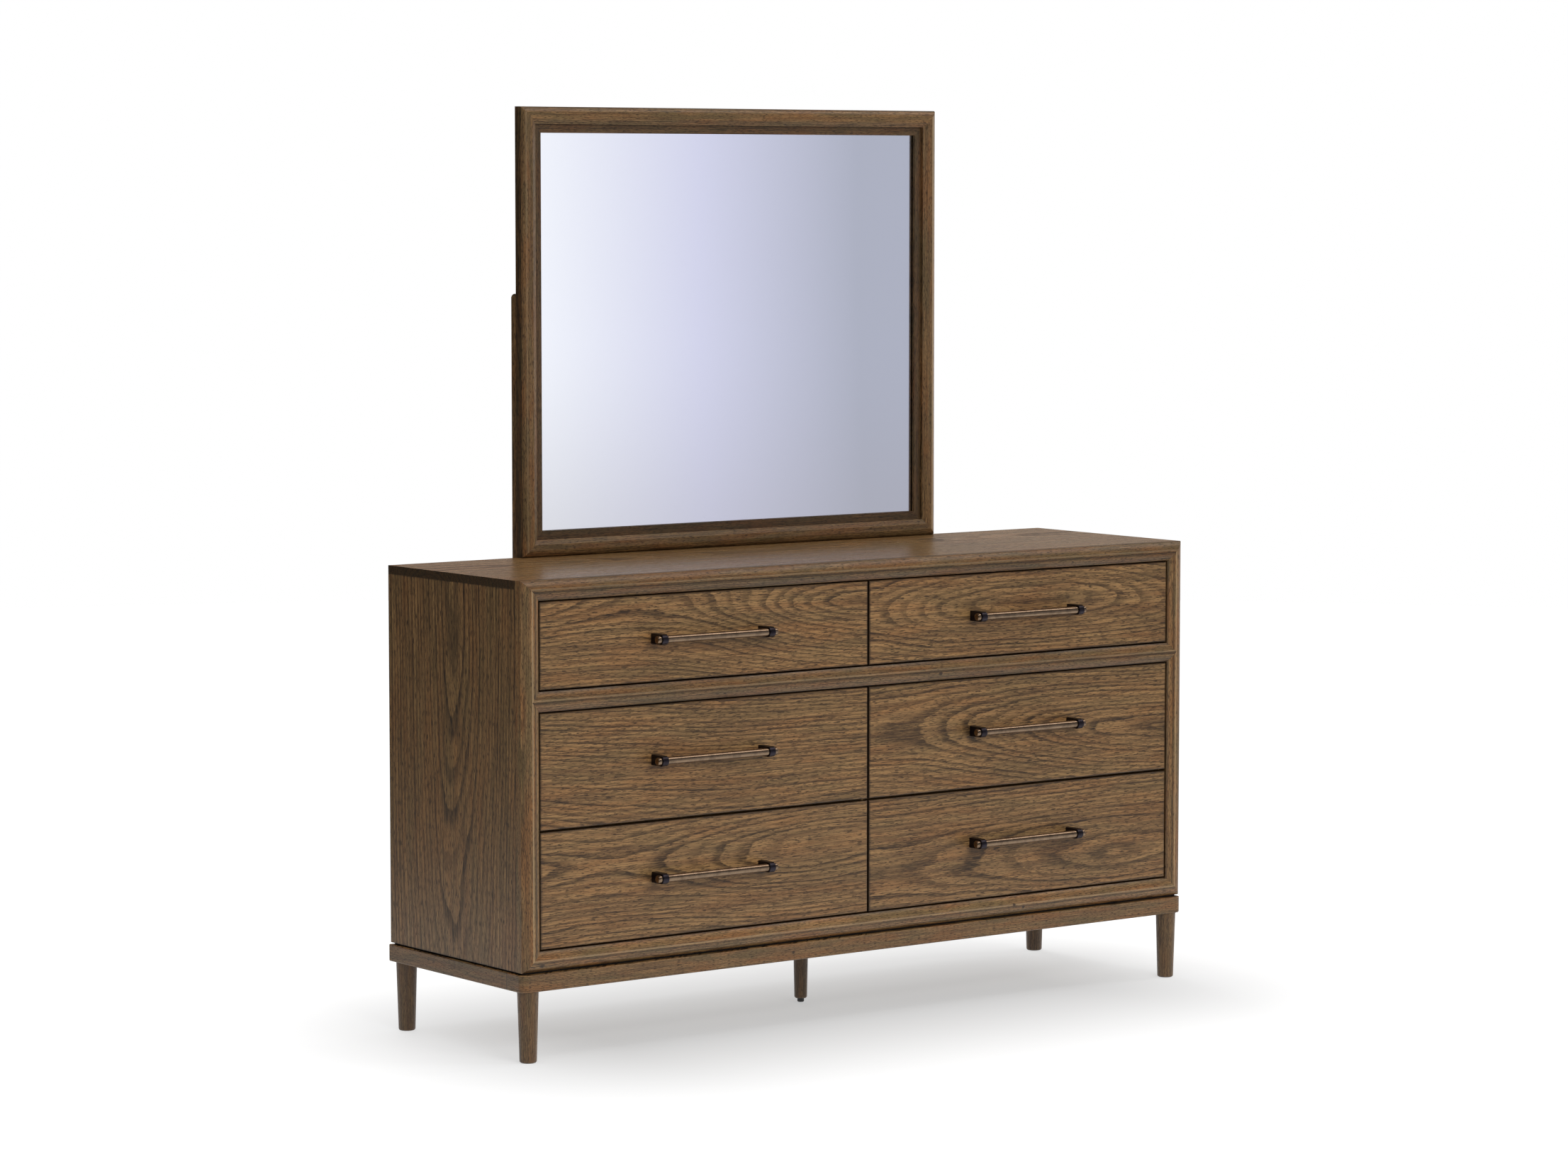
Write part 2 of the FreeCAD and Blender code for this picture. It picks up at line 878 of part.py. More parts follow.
def mirror_supports():
    solids = []
    for _, side in SIDES:
        support = board(
            side * support_outer,
            side * (support_outer - support_width),
            -support_thickness,
            0,
            support_bottom,
            support_top,
        )
        top_corners = edges_where(
            support,
            lambda box: near(box.YLength, support_thickness)
            and flat_at(box.ZMin, box.ZMax, support_top),
        )
        support = support.makeFillet(support_corner_round, top_corners)
        solids.append(support.cut(mirror_screw_holes() + case_screw_holes()))
    return solids


def mirror_screw_heights():
    low = mirror_bottom + mirror_screw_rise
    high = support_top - mirror_screw_drop
    return (low, (low + high) / 2, high)


def case_screw_heights():
    """Into the edge of the case top, and through the back panel into the dust board."""
    return (case_top - top_thickness / 2, dust_board_middle)


def screw_holes(heights, bite):
    radius = support_screw_radius + screw_clearance
    end = bite + screw_clearance
    return [
        pin_forward(side * support_screw_x, height, radius, -support_thickness, end)
        for _, side in SIDES
        for height in heights
    ]


def mirror_screw_holes():
    return screw_holes(mirror_screw_heights(), mirror_screw_bite)


def case_screw_holes():
    return screw_holes(case_screw_heights(), case_screw_bite)


def support_screw(x, height, bite):
    shank = pin_forward(x, height, support_screw_radius, -support_thickness, bite)
    head_back = -support_thickness - support_screw_head_height
    head = pin_forward(x, height, support_screw_head_radius, head_back, -support_thickness)
    return head.fuse(shank)


def support_screws():
    solids = []
    for _, side in SIDES:
        x = side * support_screw_x
        solids += [support_screw(x, height, mirror_screw_bite) for height in mirror_screw_heights()]
        solids += [support_screw(x, height, case_screw_bite) for height in case_screw_heights()]
    return solids


# ---------------------------------------------------------------- write every piece
def write_drawers():
    for side_name, side in SIDES:
        for row, low, high, rise in ROWS:
            tag = row + "_" + side_name
            height = pull_height(row, low, high, rise)
            write("drawer_front_" + tag, drawer_front(side, row, low, high, rise))
            write("drawer_box_" + tag, drawer_box(side, row, low, high, rise))
            write("pull_bar_" + tag, pull_bar(side, height))
            write("pull_posts_" + tag, pull_posts(side, height))
            write("drawer_runners_" + tag, drawer_runners(side, low, high))


def write_case():
    write("top_panel", top_panel())
    for side_name, side in SIDES:
        write(side_name + "_side_panel", side_panel(side))
        write(side_name + "_stile", stile(side))
    write("top_rail", outer_rail(case_top, opening_top))
    write("middle_rail", middle_rail())
    write("bottom_rail", outer_rail(case_floor, opening_bottom))
    write("centre_partition", centre_partition())
    write("drawer_dividers", drawer_dividers())
    write("case_bottom", case_bottom())
    write("back_panel", back_panel())
    write("runner_battens", runner_battens())
    write("case_runners", case_runners())


def write_base():
    write("base_front_rail", base_front_rail())
    write("base_side_and_back_rails", base_side_and_back_rails())
    write("base_stretchers", base_stretchers())
    write("base_corner_blocks", base_corner_blocks())
    write("front_legs", corner_leg_pair(leg_front_depth))
    write("rear_legs", corner_leg_pair(leg_rear_depth))
    write("centre_leg", centre_leg())
    write("leg_bolts", leg_bolts())
    write("centre_leg_glide", centre_glide())


def write_mirror():
    write("mirror_frame_top", mirror_rail(mirror_top, -1))
    write("mirror_frame_bottom", mirror_rail(mirror_bottom, 1))
    write("mirror_frame_sides", [mirror_upright(side) for _, side in SIDES])
    write("mirror_glass", mirror_glass())
    write("mirror_backing", mirror_backing())
    write("mirror_supports", mirror_supports())
    write("support_screws", support_screws())


os.makedirs("parts", exist_ok=True)
write_case()
write_drawers()
write_base()
write_mirror()
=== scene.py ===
import math
from dataclasses import dataclass, replace

import bmesh
import bpy
from bpy.props import FloatProperty, FloatVectorProperty, PointerProperty
from mathutils import Matrix, Vector


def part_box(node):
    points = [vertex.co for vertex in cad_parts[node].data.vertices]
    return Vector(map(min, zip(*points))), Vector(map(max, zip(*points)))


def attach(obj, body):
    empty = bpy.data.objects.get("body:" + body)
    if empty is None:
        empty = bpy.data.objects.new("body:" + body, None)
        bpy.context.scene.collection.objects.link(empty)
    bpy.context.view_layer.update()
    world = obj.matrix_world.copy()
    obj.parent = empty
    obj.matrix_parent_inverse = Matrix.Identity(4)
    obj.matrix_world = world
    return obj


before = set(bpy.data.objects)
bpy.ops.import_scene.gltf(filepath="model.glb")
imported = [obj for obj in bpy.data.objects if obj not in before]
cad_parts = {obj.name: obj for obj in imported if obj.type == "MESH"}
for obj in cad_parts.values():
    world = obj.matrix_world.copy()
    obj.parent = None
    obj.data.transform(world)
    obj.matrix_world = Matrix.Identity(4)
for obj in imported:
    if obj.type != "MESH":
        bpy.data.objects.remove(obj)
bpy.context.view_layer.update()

bl_info = {
    "name": "Dresser with mirror",
    "version": (1, 0, 0),
    "blender": (4, 5, 0),
    "location": "View3D > Sidebar > Dresser",
    "description": "Finishes a six-drawer oak dresser and its mirror, and sets up a plain studio",
    "category": "Object",
}

MM = 0.001

DRAWERS = [(row, side) for side in ("left", "right") for row in ("top", "middle", "bottom")]


# ---------------- colours and shader nodes
def linear(hex_colour):
    """Turns an sRGB hex colour such as #7A6348 to the linear red, green and blue that shaders use."""
    channels = [int(hex_colour[i : i + 2], 16) / 255 for i in (1, 3, 5)]
    return tuple(c / 12.92 if c <= 0.04045 else ((c + 0.055) / 1.055) ** 2.4 for c in channels)


def rgba(colour):
    return (*colour, 1)


def add(tree, kind, inputs, out=0, stops=(), **settings):
    """Adds a node with its settings, its inputs as values or links, and the stops of its ramp.

    A kind that has operations is given with one of them, as in "Math ADD". Inputs are a list in the
    sockets' order, or go by the sockets' names or numbers. Returns the output that out names or counts,
    or all outputs where out is None.
    """
    kind, *operation = kind.split()
    node = tree.nodes.new("ShaderNode" + kind)
    if operation:
        node.operation = operation[0]
    for name, value in settings.items():
        setattr(node, name, value)
    for key, value in inputs.items() if isinstance(inputs, dict) else enumerate(inputs):
        if isinstance(value, bpy.types.NodeSocket):
            tree.links.new(value, node.inputs[key])
        else:
            node.inputs[key].default_value = value
    for index, (position, value) in enumerate(stops):
        ramp = node.color_ramp.elements
        element = ramp[index] if index < 2 else ramp.new(position)
        element.position = position
        element.color = rgba([value] * 3)
    return node.outputs if out is None else node.outputs[out]


# A Mix node takes a share in socket 0 and keeps its two colours and their blend in these sockets.
MIX_A, MIX_B = 6, 7
COLOURS = {"data_type": "RGBA", "out": 2}

# A Map Range node takes a value, the two ends it comes from and the two it goes to, which are 0 and 1
# where nothing is said.
SMOOTH = {"interpolation_type": "SMOOTHSTEP"}


def new_material(name):
    material = bpy.data.materials.new(name)
    material.use_nodes = True
    material.node_tree.nodes.clear()
    return material, material.node_tree


def finish_material(material, surface):
    add(material.node_tree, "OutputMaterial", {"Surface": surface}, out=None)
    return material


def dress(node_name, material):
    """Gives a CAD node its material."""
    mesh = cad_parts[node_name].data
    mesh.materials.clear()
    mesh.materials.append(material)


def millimetres(tree):
    """The place on a piece, in millimetres of the whole dresser."""
    metres = add(tree, "TexCoord", [], "Object")
    return add(tree, "VectorMath SCALE", {0: metres, "Scale": 1 / MM})


def stretched_noise(tree, place, size, seed, **inputs):
    """Noise whose spots have the given size in millimetres along, across and into the board."""
    scaled = add(tree, "VectorMath DIVIDE", [place, size])
    inputs.update({"Vector": scaled, "W": seed, "Scale": 1.0})
    return add(tree, "TexNoise", inputs, noise_dimensions="4D")


# ---------------- the figure of a sliced board
@dataclass(frozen=True)
class Cut:
    """How a board lay in its log. Lengths are in millimetres from the middle of the board."""

    order: str  # the axes along the grain, across the face and into the wood
    turned: str = ""  # the same on faces that look sideways, where a piece turns a corner
    heart: float = 0.0  # where the log's heart runs, across the face
    lean: float = 0.0  # how far the heart drifts across the face for each millimetre along it
    depth: float = 90.0  # how deep the heart lies under the face
    swing: float = 0.0  # how far the heart rises and falls under the face
    swing_length: float = 900.0  # from one deepest place to the next
    swing_start: float = 0.0  # where along the board the heart lies deepest
    ring: float = 7.6  # one year's growth
    seed: float = 0.0
    coarse: float = 1.0  # how many times larger than usual the pores, fibres and patches are
    stained: float = 1.0  # how much of the stain the pores hold
    patchy: float = 0.35  # how far the wood drifts between warm and grey
    wrapped: bool = False  # whether the grain follows a rail round its left and right corners


def solid(order, heart, depth, seed, **more):
    """A rail or an upright of solid oak: narrow rings, fine pores and more patches than veneer has."""
    return Cut(order, heart=heart, depth=depth, ring=2.6, seed=seed, coarse=0.75, patchy=0.7, **more)


# What shows in oak, in millimetres along, across and into the board. Real pores are 0.2 to 0.4 mm wide
# and fibres finer still, too fine to show, so both are drawn several times as coarse.
PORES = (22, 1.3, 1.3)
STRAY_PORES = (12, 1.05, 1.05)
FIBRES = (100, 1.2, 1.2)
STREAKS = (300, 6, 6)
PATCHES = (150, 20, 20)
SLOW_WAVES = (520, 60, 60)
QUICK_WAVES = (56, 8, 8)
# So long across the board that the noise changes only along it.
WANDER = (600, 9000, 9000)
RISE = (170, 9000, 9000)
# How far these four move the heart or the rings, in millimetres.
WANDER_REACH, RISE_REACH, SLOW_REACH, QUICK_REACH = 34.0, 12.0, 22.0, 3.5
# How strongly each ring takes stain, from the start of a year's growth to its end.
RING_STOPS = ((0.0, 0.1), (0.06, 1.0), (0.3, 0.85), (0.52, 0.14), (0.97, 0.0))

FIGURE_LENGTHS = ("Heart", "Depth", "Swing", "Swing length", "Swing start", "Ring")


def ring_figure():
    """A node group that gives a board's stained lines, fibres and patches, each from 0 to 1."""
    group = bpy.data.node_groups.new("ring figure", "ShaderNodeTree")
    group.interface.new_socket("Place", in_out="INPUT", socket_type="NodeSocketVector")
    for name in (*FIGURE_LENGTHS, "Lean", "Seed"):
        group.interface.new_socket(name, in_out="INPUT", socket_type="NodeSocketFloat")
    for name in ("Lines", "Fibres", "Patches"):
        group.interface.new_socket(name, in_out="OUTPUT", socket_type="NodeSocketFloat")
    given = group.nodes.new("NodeGroupInput").outputs
    place, seed = given["Place"], given["Seed"]
    along, across, inward = add(group, "SeparateXYZ", [place], out=None)

    # The heart drifts and wanders across the board, and rises and falls under it.
    drift = add(group, "Math MULTIPLY_ADD", [along, given["Lean"], given["Heart"]])
    wander = stretched_noise(group, place, WANDER, seed)
    heart = add(group, "Math MULTIPLY_ADD", [wander, WANDER_REACH, drift])
    from_start = add(group, "Math SUBTRACT", [along, given["Swing start"]])
    turns = add(group, "Math DIVIDE", [from_start, given["Swing length"]])
    angle = add(group, "Math MULTIPLY", [turns, math.tau])
    wave = add(group, "Math COSINE", [angle])
    rise = stretched_noise(group, place, RISE, seed)
    level = add(group, "Math MULTIPLY_ADD", [rise, RISE_REACH, given["Depth"]])
    under = add(group, "Math MULTIPLY_ADD", [wave, given["Swing"], level])

    # Distance from the heart, shaken by the waves and counted in rings.
    sideways = add(group, "Math SUBTRACT", [across, heart])
    down = add(group, "Math ADD", [inward, under])
    offset = add(group, "CombineXYZ", [sideways, down])
    radius = add(group, "VectorMath LENGTH", [offset], out="Value")
    slow = stretched_noise(group, place, SLOW_WAVES, seed, Detail=1.0)
    radius = add(group, "Math MULTIPLY_ADD", [slow, SLOW_REACH, radius])
    quick = stretched_noise(group, place, QUICK_WAVES, seed, Detail=2.0, Roughness=0.6)
    radius = add(group, "Math MULTIPLY_ADD", [quick, QUICK_REACH, radius])
    rings = add(group, "Math DIVIDE", [radius, given["Ring"]])
    year = add(group, "Math FRACT", [rings])
    early = add(group, "ValToRGB", [year], stops=RING_STOPS)
    number = add(group, "Math FLOOR", [rings])
    number = add(group, "Math ADD", [number, seed])
    strength = add(group, "TexWhiteNoise", {"W": number}, noise_dimensions="1D")
    strength = add(group, "MapRange", [strength, 0, 1, 0.5, 1.0])

    # Pores are short dark dashes along the grain, and crowd into the early part of each ring.
    dashes = stretched_noise(group, place, PORES, seed, Detail=1.0, Roughness=0.7)
    pores = add(group, "MapRange", [dashes, 0.455, 0.53], **SMOOTH)
    stray = stretched_noise(group, place, STRAY_PORES, seed, Detail=1.0)
    stray = add(group, "MapRange", [stray, 0.52, 0.63, 0, 0.85], **SMOOTH)
    broken = add(group, "Math MULTIPLY_ADD", [pores, 0.5, 0.5])
    lines = add(group, "Math MULTIPLY", [early, broken])
    lines = add(group, "Math MULTIPLY", [lines, strength])
    lines = add(group, "Math MAXIMUM", [lines, stray])

    thin = stretched_noise(group, place, FIBRES, seed, Detail=1.0, Roughness=0.7)
    broad = stretched_noise(group, place, STREAKS, seed, Detail=1.0)
    fibres = add(group, "Math MULTIPLY_ADD", [broad, 0.5, thin])
    fibres = add(group, "MapRange", [fibres, 0.55, 0.95], **SMOOTH)
    patches = stretched_noise(group, place, PATCHES, seed, Detail=2.0)
    results = group.nodes.new("NodeGroupOutput").inputs
    for name, value in (("Lines", lines), ("Fibres", fibres), ("Patches", patches)):
        group.links.new(value, results[name])
    return group


def ordered(tree, vector, order):
    """Reorders a vector's axes, so that x runs along the grain, y across it and z into the wood."""
    parts = add(tree, "SeparateXYZ", [vector], out=None)
    return add(tree, "CombineXYZ", {index: parts["xyz".index(axis)] for index, axis in enumerate(order)})


def board_place(tree, metres, cut, node_name):
    """Millimetres along, across and into the board, from the middle of a CAD node."""
    low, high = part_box(node_name)
    middle = add(tree, "VectorMath SUBTRACT", [metres, (low + high) / 2])
    place = add(tree, "VectorMath SCALE", {0: middle, "Scale": 1 / MM})
    if cut.wrapped:
        # Past a corner the length goes on growing along the return.
        x, y, z = add(tree, "SeparateXYZ", [place], out=None)
        side = add(tree, "Math SIGN", [x])
        around = add(tree, "Math MULTIPLY_ADD", [side, y, x])
        return add(tree, "CombineXYZ", [around, z])
    straight = ordered(tree, place, cut.order)
    if not cut.turned:
        return straight
    normal = add(tree, "NewGeometry", [], "True Normal")
    slope = add(tree, "SeparateXYZ", [normal], out=0)
    slope = add(tree, "Math ABSOLUTE", [slope])
    faces_sideways = add(tree, "Math GREATER_THAN", [slope, 0.707])
    around = ordered(tree, place, cut.turned)
    return add(tree, "Mix", {0: faces_sideways, 4: straight, 5: around}, out=1, data_type="VECTOR")


def figure_of(tree, place, cut):
    """The ring figure of one cut, as the group node's outputs."""
    inputs = {name: getattr(cut, name.lower().replace(" ", "_")) / cut.coarse for name in FIGURE_LENGTHS}
    inputs["Place"] = add(tree, "VectorMath SCALE", {0: place, "Scale": 1 / cut.coarse})
    inputs.update({"Lean": cut.lean, "Seed": cut.seed})
    figure = bpy.data.node_groups.get("ring figure") or ring_figure()
    return add(tree, "Group", inputs, out=None, node_tree=figure)


def edge_distance(tree, place, cut, node_name):
    """Millimetres to the nearest edge of a board's face."""
    low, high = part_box(node_name)
    half = [(high - low)["xyz".index(axis)] / 2 / MM for axis in cut.order]
    from_middle = add(tree, "VectorMath ABSOLUTE", [place])
    inside = add(tree, "VectorMath SUBTRACT", [half, from_middle])
    parts = add(tree, "SeparateXYZ", [inside], out=None)
    return add(tree, "Math MINIMUM", [parts[0], parts[1]])


# ---------------- woods
def stained_oak(
    name, node_name, cut, wood, glaze_and_shade_width=0.0, tone_and_painted_light=0.0, knots=(), recess=None, stripes=(), polish=0.0
):
    """Oak with a grey-brown stain under satin lacquer.

    The stain settles in the pores, so the rings read as broken dark lines on a tan ground that drifts
    between warm and grey. End grain drinks more of it. Dark glaze and painted shade are left along the
    edges, and the lacquer gives a soft, wide sheen, which polish makes sharper. Tone lightens or darkens
    the whole piece, partly for the wood's own colour and partly as painted light and shade.

    Knots are given as along, across and size in millimetres. Recess is a point in the middle of a
    frame: behind it, glaze and painted shade lie on all faces but those that look towards it. Stripes
    are painted highlights on crests, painted shade lines beside them and dark joints, as axis, place,
    half width, share and colour, in metres.
    """
    material, tree = new_material(name)
    metres = add(tree, "TexCoord", [], "Object")
    place = board_place(tree, metres, cut, node_name)
    figure = figure_of(tree, place, cut)
    lines, patches = figure["Lines"], figure["Patches"]
    grounds = {MIX_A: rgba(wood.oak_dark), MIX_B: rgba(wood.oak_light)}
    colour = add(tree, "Mix", {0: figure["Fibres"], **grounds}, **COLOURS)
    warmth = add(tree, "MapRange", [patches, 0.48, 0.66, 0, cut.patchy], **SMOOTH)
    greyness = add(tree, "MapRange", [patches, 0.5, 0.34, 0, cut.patchy], **SMOOTH)
    stain = add(tree, "Math MULTIPLY", [lines, wood.stain * cut.stained])
    layers = [(warmth, wood.oak_warm), (greyness, wood.oak_grey), (stain, wood.pore)]
    # Glaze along the edges, with painted shade where the pieces meet and beside the gaps.
    if glaze_and_shade_width:
        distance = edge_distance(tree, place, cut, node_name)
        uneven = stretched_noise(tree, place, (30, 30, 30), cut.seed)
        width = add(tree, "Math MULTIPLY", [uneven, 2 * glaze_and_shade_width / MM])
        glaze_and_shade = add(tree, "MapRange", [distance, width, 0.0, 0, 0.75], **SMOOTH)
        layers.append((glaze_and_shade, wood.glaze_and_shade))
    # Glaze and painted shade on the faces behind the recess's depth, but not on walls that face the frame's
    # middle.
    if recess is not None:
        depth = add(tree, "SeparateXYZ", [metres], out=1)
        recess_shade = add(tree, "MapRange", [depth, recess.y - MM, recess.y + MM, 0, 0.5], **SMOOTH)
        normal = add(tree, "NewGeometry", [], "True Normal")
        outward = add(tree, "VectorMath SUBTRACT", [metres, recess])
        facing = add(tree, "VectorMath DOT_PRODUCT", [outward, normal], out="Value")
        open_faces = add(tree, "MapRange", [facing, -0.3, -0.1], **SMOOTH)
        recess_shade = add(tree, "Math MULTIPLY", [recess_shade, open_faces])
        layers.append((recess_shade, wood.glaze_and_shade))
    # Stripes paint highlights on crests and shade lines beside them, or mark dark joints.
    for axis, middle, half, share, tint in stripes:
        away = add(tree, "SeparateXYZ", [metres], out="xyz".index(axis))
        away = add(tree, "Math SUBTRACT", [away, middle])
        away = add(tree, "Math ABSOLUTE", [away])
        marked = add(tree, "MapRange", [away, 1.4 * half, 0.6 * half, 0, share], **SMOOTH)
        layers.append((marked, tint))
    if not cut.turned and not cut.wrapped:
        normal = add(tree, "NewGeometry", [], "True Normal")
        end_on = add(tree, "SeparateXYZ", [normal], out="xyz".index(cut.order[0]))
        end_on = add(tree, "Math ABSOLUTE", [end_on])
        end_grain = add(tree, "MapRange", [end_on, 0.7, 0.95, 0, 0.85], **SMOOTH)
        layers.append((end_grain, wood.glaze_and_shade))
    for along, across, size in knots:
        away = add(tree, "VectorMath SUBTRACT", [place, (along, across, 0)])
        away = add(tree, "VectorMath DIVIDE", [away, (size, 0.8 * size, 400)])
        away = add(tree, "VectorMath LENGTH", [away], out="Value")
        rough = stretched_noise(tree, place, (5, 5, 5), cut.seed, Detail=2.0)
        away = add(tree, "Math ADD", [away, rough])
        knot = add(tree, "MapRange", [away, 1.7, 0.9, 0, 0.85], **SMOOTH)
        layers.append((knot, wood.pore))
    for share, tint in layers:
        colour = add(tree, "Mix", {0: share, MIX_A: colour, MIX_B: rgba(tint)}, **COLOURS)
    # Tone lightens or darkens the whole piece: partly the wood's own colour, partly painted light and shade.
    if tone_and_painted_light:
        colour = add(tree, "HueSaturation", {"Value": 1 + tone_and_painted_light, "Color": colour})
    smoothest = wood.lacquer_roughness - polish
    shader = {
        "Base Color": colour,
        "Roughness": add(tree, "Math MULTIPLY_ADD", [lines, 0.16, smoothest]),
        "IOR": 1.5,
        "Normal": add(tree, "Bump", {"Strength": 0.35, "Distance": 0.12 * MM, "Height": lines}, invert=True),
    }
    return finish_material(material, add(tree, "BsdfPrincipled", shader))


def plain_wood(name, node_name, cut, light, dark, roughness, contrast=0.5, black_shadow_edge=0.0):
    """Unstained timber: pale, with soft low-contrast rings and a dry, dull surface.

    An edge that shows in a shadow line is painted black, as such edges often are, and this is also
    painted shade, so that the line reads as a dark gap.
    """
    material, tree = new_material(name)
    place = board_place(tree, add(tree, "TexCoord", [], "Object"), cut, node_name)
    figure = figure_of(tree, place, cut)
    share = add(tree, "Math MULTIPLY", [figure["Lines"], contrast])
    tints = {MIX_A: rgba(linear(light)), MIX_B: rgba(linear(dark))}
    colour = add(tree, "Mix", {0: share, **tints}, **COLOURS)
    if black_shadow_edge:
        distance = edge_distance(tree, place, cut, node_name)
        in_shadow_line = add(tree, "Math LESS_THAN", [distance, black_shadow_edge / MM])
        black = rgba(linear("#0C0A08"))
        colour = add(tree, "Mix", {0: in_shadow_line, MIX_A: colour, MIX_B: black}, **COLOURS)
    normal = add(tree, "Bump", {"Strength": 0.3, "Distance": 0.1 * MM, "Height": figure["Fibres"]})
    shader = {"Base Color": colour, "Roughness": roughness, "IOR": 1.5, "Normal": normal}
    return finish_material(material, add(tree, "BsdfPrincipled", shader))


def tempered_hardboard(wood):
    """Hot-pressed wood fibre: dark brown with pale stray fibres, and slightly shiny.

    The fibres are drawn coarser than life, which has them 0.1 mm wide, so that they show.
    """
    material, tree = new_material("tempered hardboard")
    place = millimetres(tree)
    fibres = stretched_noise(tree, place, (5, 5, 5), 3.0, Detail=5.0, Roughness=0.75, Distortion=1.5)
    clouds = stretched_noise(tree, place, (140, 140, 140), 5.0, Detail=2.0)
    share = add(tree, "Math MULTIPLY_ADD", [clouds, 0.5, fibres])
    share = add(tree, "MapRange", [share, 0.5, 1.0])
    tints = {MIX_A: rgba(linear("#4A3120")), MIX_B: rgba(wood.hardboard)}
    colour = add(tree, "Mix", {0: share, **tints}, **COLOURS)
    normal = add(tree, "Bump", {"Strength": 0.3, "Distance": 0.08 * MM, "Height": fibres})
    shader = {"Base Color": colour, "Roughness": 0.42, "IOR": 1.5, "Normal": normal}
    return finish_material(material, add(tree, "BsdfPrincipled", shader))


# ---------------- metals, glass and plastic
def marked_metal(name, colour, tarnish, roughness, size):
    """Metal with cloudy tarnish and fine lines or spots of a size in millimetres.

    Real ones are about 0.1 mm wide, so these are drawn coarser, as they need to be to show.
    """
    material, tree = new_material(name)
    place = millimetres(tree)
    marks = stretched_noise(tree, place, size, 1.0, Detail=3.0)
    clouds = stretched_noise(tree, place, (14, 14, 14), 2.0, Detail=3.0)
    share = add(tree, "MapRange", [clouds, 0.4, 0.7, 0, 0.7], **SMOOTH)
    shade = add(tree, "Mix", {0: share, MIX_A: rgba(colour), MIX_B: rgba(tarnish)}, **COLOURS)
    spread = add(tree, "Math MULTIPLY_ADD", [marks, 0.2, roughness - 0.1])
    normal = add(tree, "Bump", {"Strength": 0.2, "Distance": 0.05 * MM, "Height": marks})
    shader = {"Base Color": shade, "Metallic": 1.0, "Roughness": spread, "Normal": normal}
    return finish_material(material, add(tree, "BsdfPrincipled", shader))


def aged_brass(metal):
    """Brass, brushed along the bar and left to brown: a warm dull gold with a narrow highlight."""
    return marked_metal("aged brass", metal.brass, metal.brass_tarnish, 0.22, (40, 0.8, 0.8))


def dark_bronze(metal):
    """Bronze, cast and chemically darkened: nearly black with a cool satin edge."""
    return marked_metal("dark bronze", metal.bronze, metal.bronze_tarnish, 0.36, (6, 6, 6))


def zinc_plate(metal):
    """Cold-rolled steel with bright zinc: pale grey with faint rolling lines and a little bloom."""
    return marked_metal("zinc-plated steel", metal.zinc, metal.zinc_bloom, 0.34, (2, 60, 2))


def float_glass():
    """Float glass, 4 mm: clear, and polished on both faces."""
    material, tree = new_material("float glass")
    clear = rgba(linear("#FFFFFF"))
    shader = {"Base Color": clear, "Roughness": 0.0, "IOR": 1.52, "Transmission Weight": 1.0}
    return finish_material(material, add(tree, "BsdfPrincipled", shader))


def mirror_silver():
    """Silver, chemically deposited on the back of the glass: a sharp reflection."""
    material, tree = new_material("mirror silvering")
    shader = {"Base Color": rgba(linear("#FCFCFC")), "Metallic": 1.0, "Roughness": 0.0}
    return finish_material(material, add(tree, "BsdfPrincipled", shader))


def moulded_nylon():
    """Nylon, injection moulded in black: matt, with a fine even texture, drawn coarser to show."""
    material, tree = new_material("moulded nylon")
    grit = stretched_noise(tree, millimetres(tree), (0.6, 0.6, 0.6), 4.0)
    normal = add(tree, "Bump", {"Strength": 0.3, "Distance": 0.05 * MM, "Height": grit})
    black = rgba(linear("#141312"))
    shader = {"Base Color": black, "Roughness": 0.5, "IOR": 1.53, "Normal": normal}
    return finish_material(material, add(tree, "BsdfPrincipled", shader))


# ---------------- sizes and colours that a user may change
def colour_setting(name, hex_colour, description):
    default = linear(hex_colour)
    limits = {"size": 3, "min": 0.0, "max": 1.0}
    return FloatVectorProperty(
        name=name, description=description, subtype="COLOR", default=default, **limits
    )


def length_setting(name, metres, description):
    return FloatProperty(
        name=name, description=description, default=metres, min=0.0, unit="LENGTH", precision=4
    )


def share_setting(name, share, description):
    return FloatProperty(
        name=name, description=description, default=share, min=0.0, max=1.0, subtype="FACTOR"
    )


def power_setting(name, watts, description):
    return FloatProperty(name=name, description=description, default=watts, min=0.0, unit="POWER")


class WoodSettings(bpy.types.PropertyGroup):
    oak_light: colour_setting("Oak, light", "#A88254", "Stained oak between its pores")
    oak_dark: colour_setting("Oak, dark", "#6E5133", "Darker fibres of the stained oak")
    oak_warm: colour_setting("Oak, warm", "#97673B", "Warm patches of the stained oak")
    oak_grey: colour_setting("Oak, grey", "#78633F", "Grey patches of the stained oak")
    pore: colour_setting("Pores", "#22150A", "Stain that has settled in the pores")
    # Glaze, also used as painted shade along edges, in the mirror frame's recess and in lines beside crests.
    glaze_and_shade: colour_setting("Glaze", "#2A2016", "Dark glaze left along the edges")
    # A painted highlight along the frames' crests.
    crest_highlight: colour_setting("Crest", "#C9AE88", "Rubbed crests of the frame")
    hardboard: colour_setting("Hardboard", "#7A5838", "Pale fibres in the hardboard")
    # How far glaze and painted shade reach in from an edge.
    glaze_and_shade_width: length_setting("Glaze width", 5 * MM, "How far the dark glaze reaches in from an edge")
    stain: share_setting("Stain", 1.0, "How dark the stained lines are")
    lacquer_roughness: share_setting("Lacquer roughness", 0.36, "How dull the lacquer is")


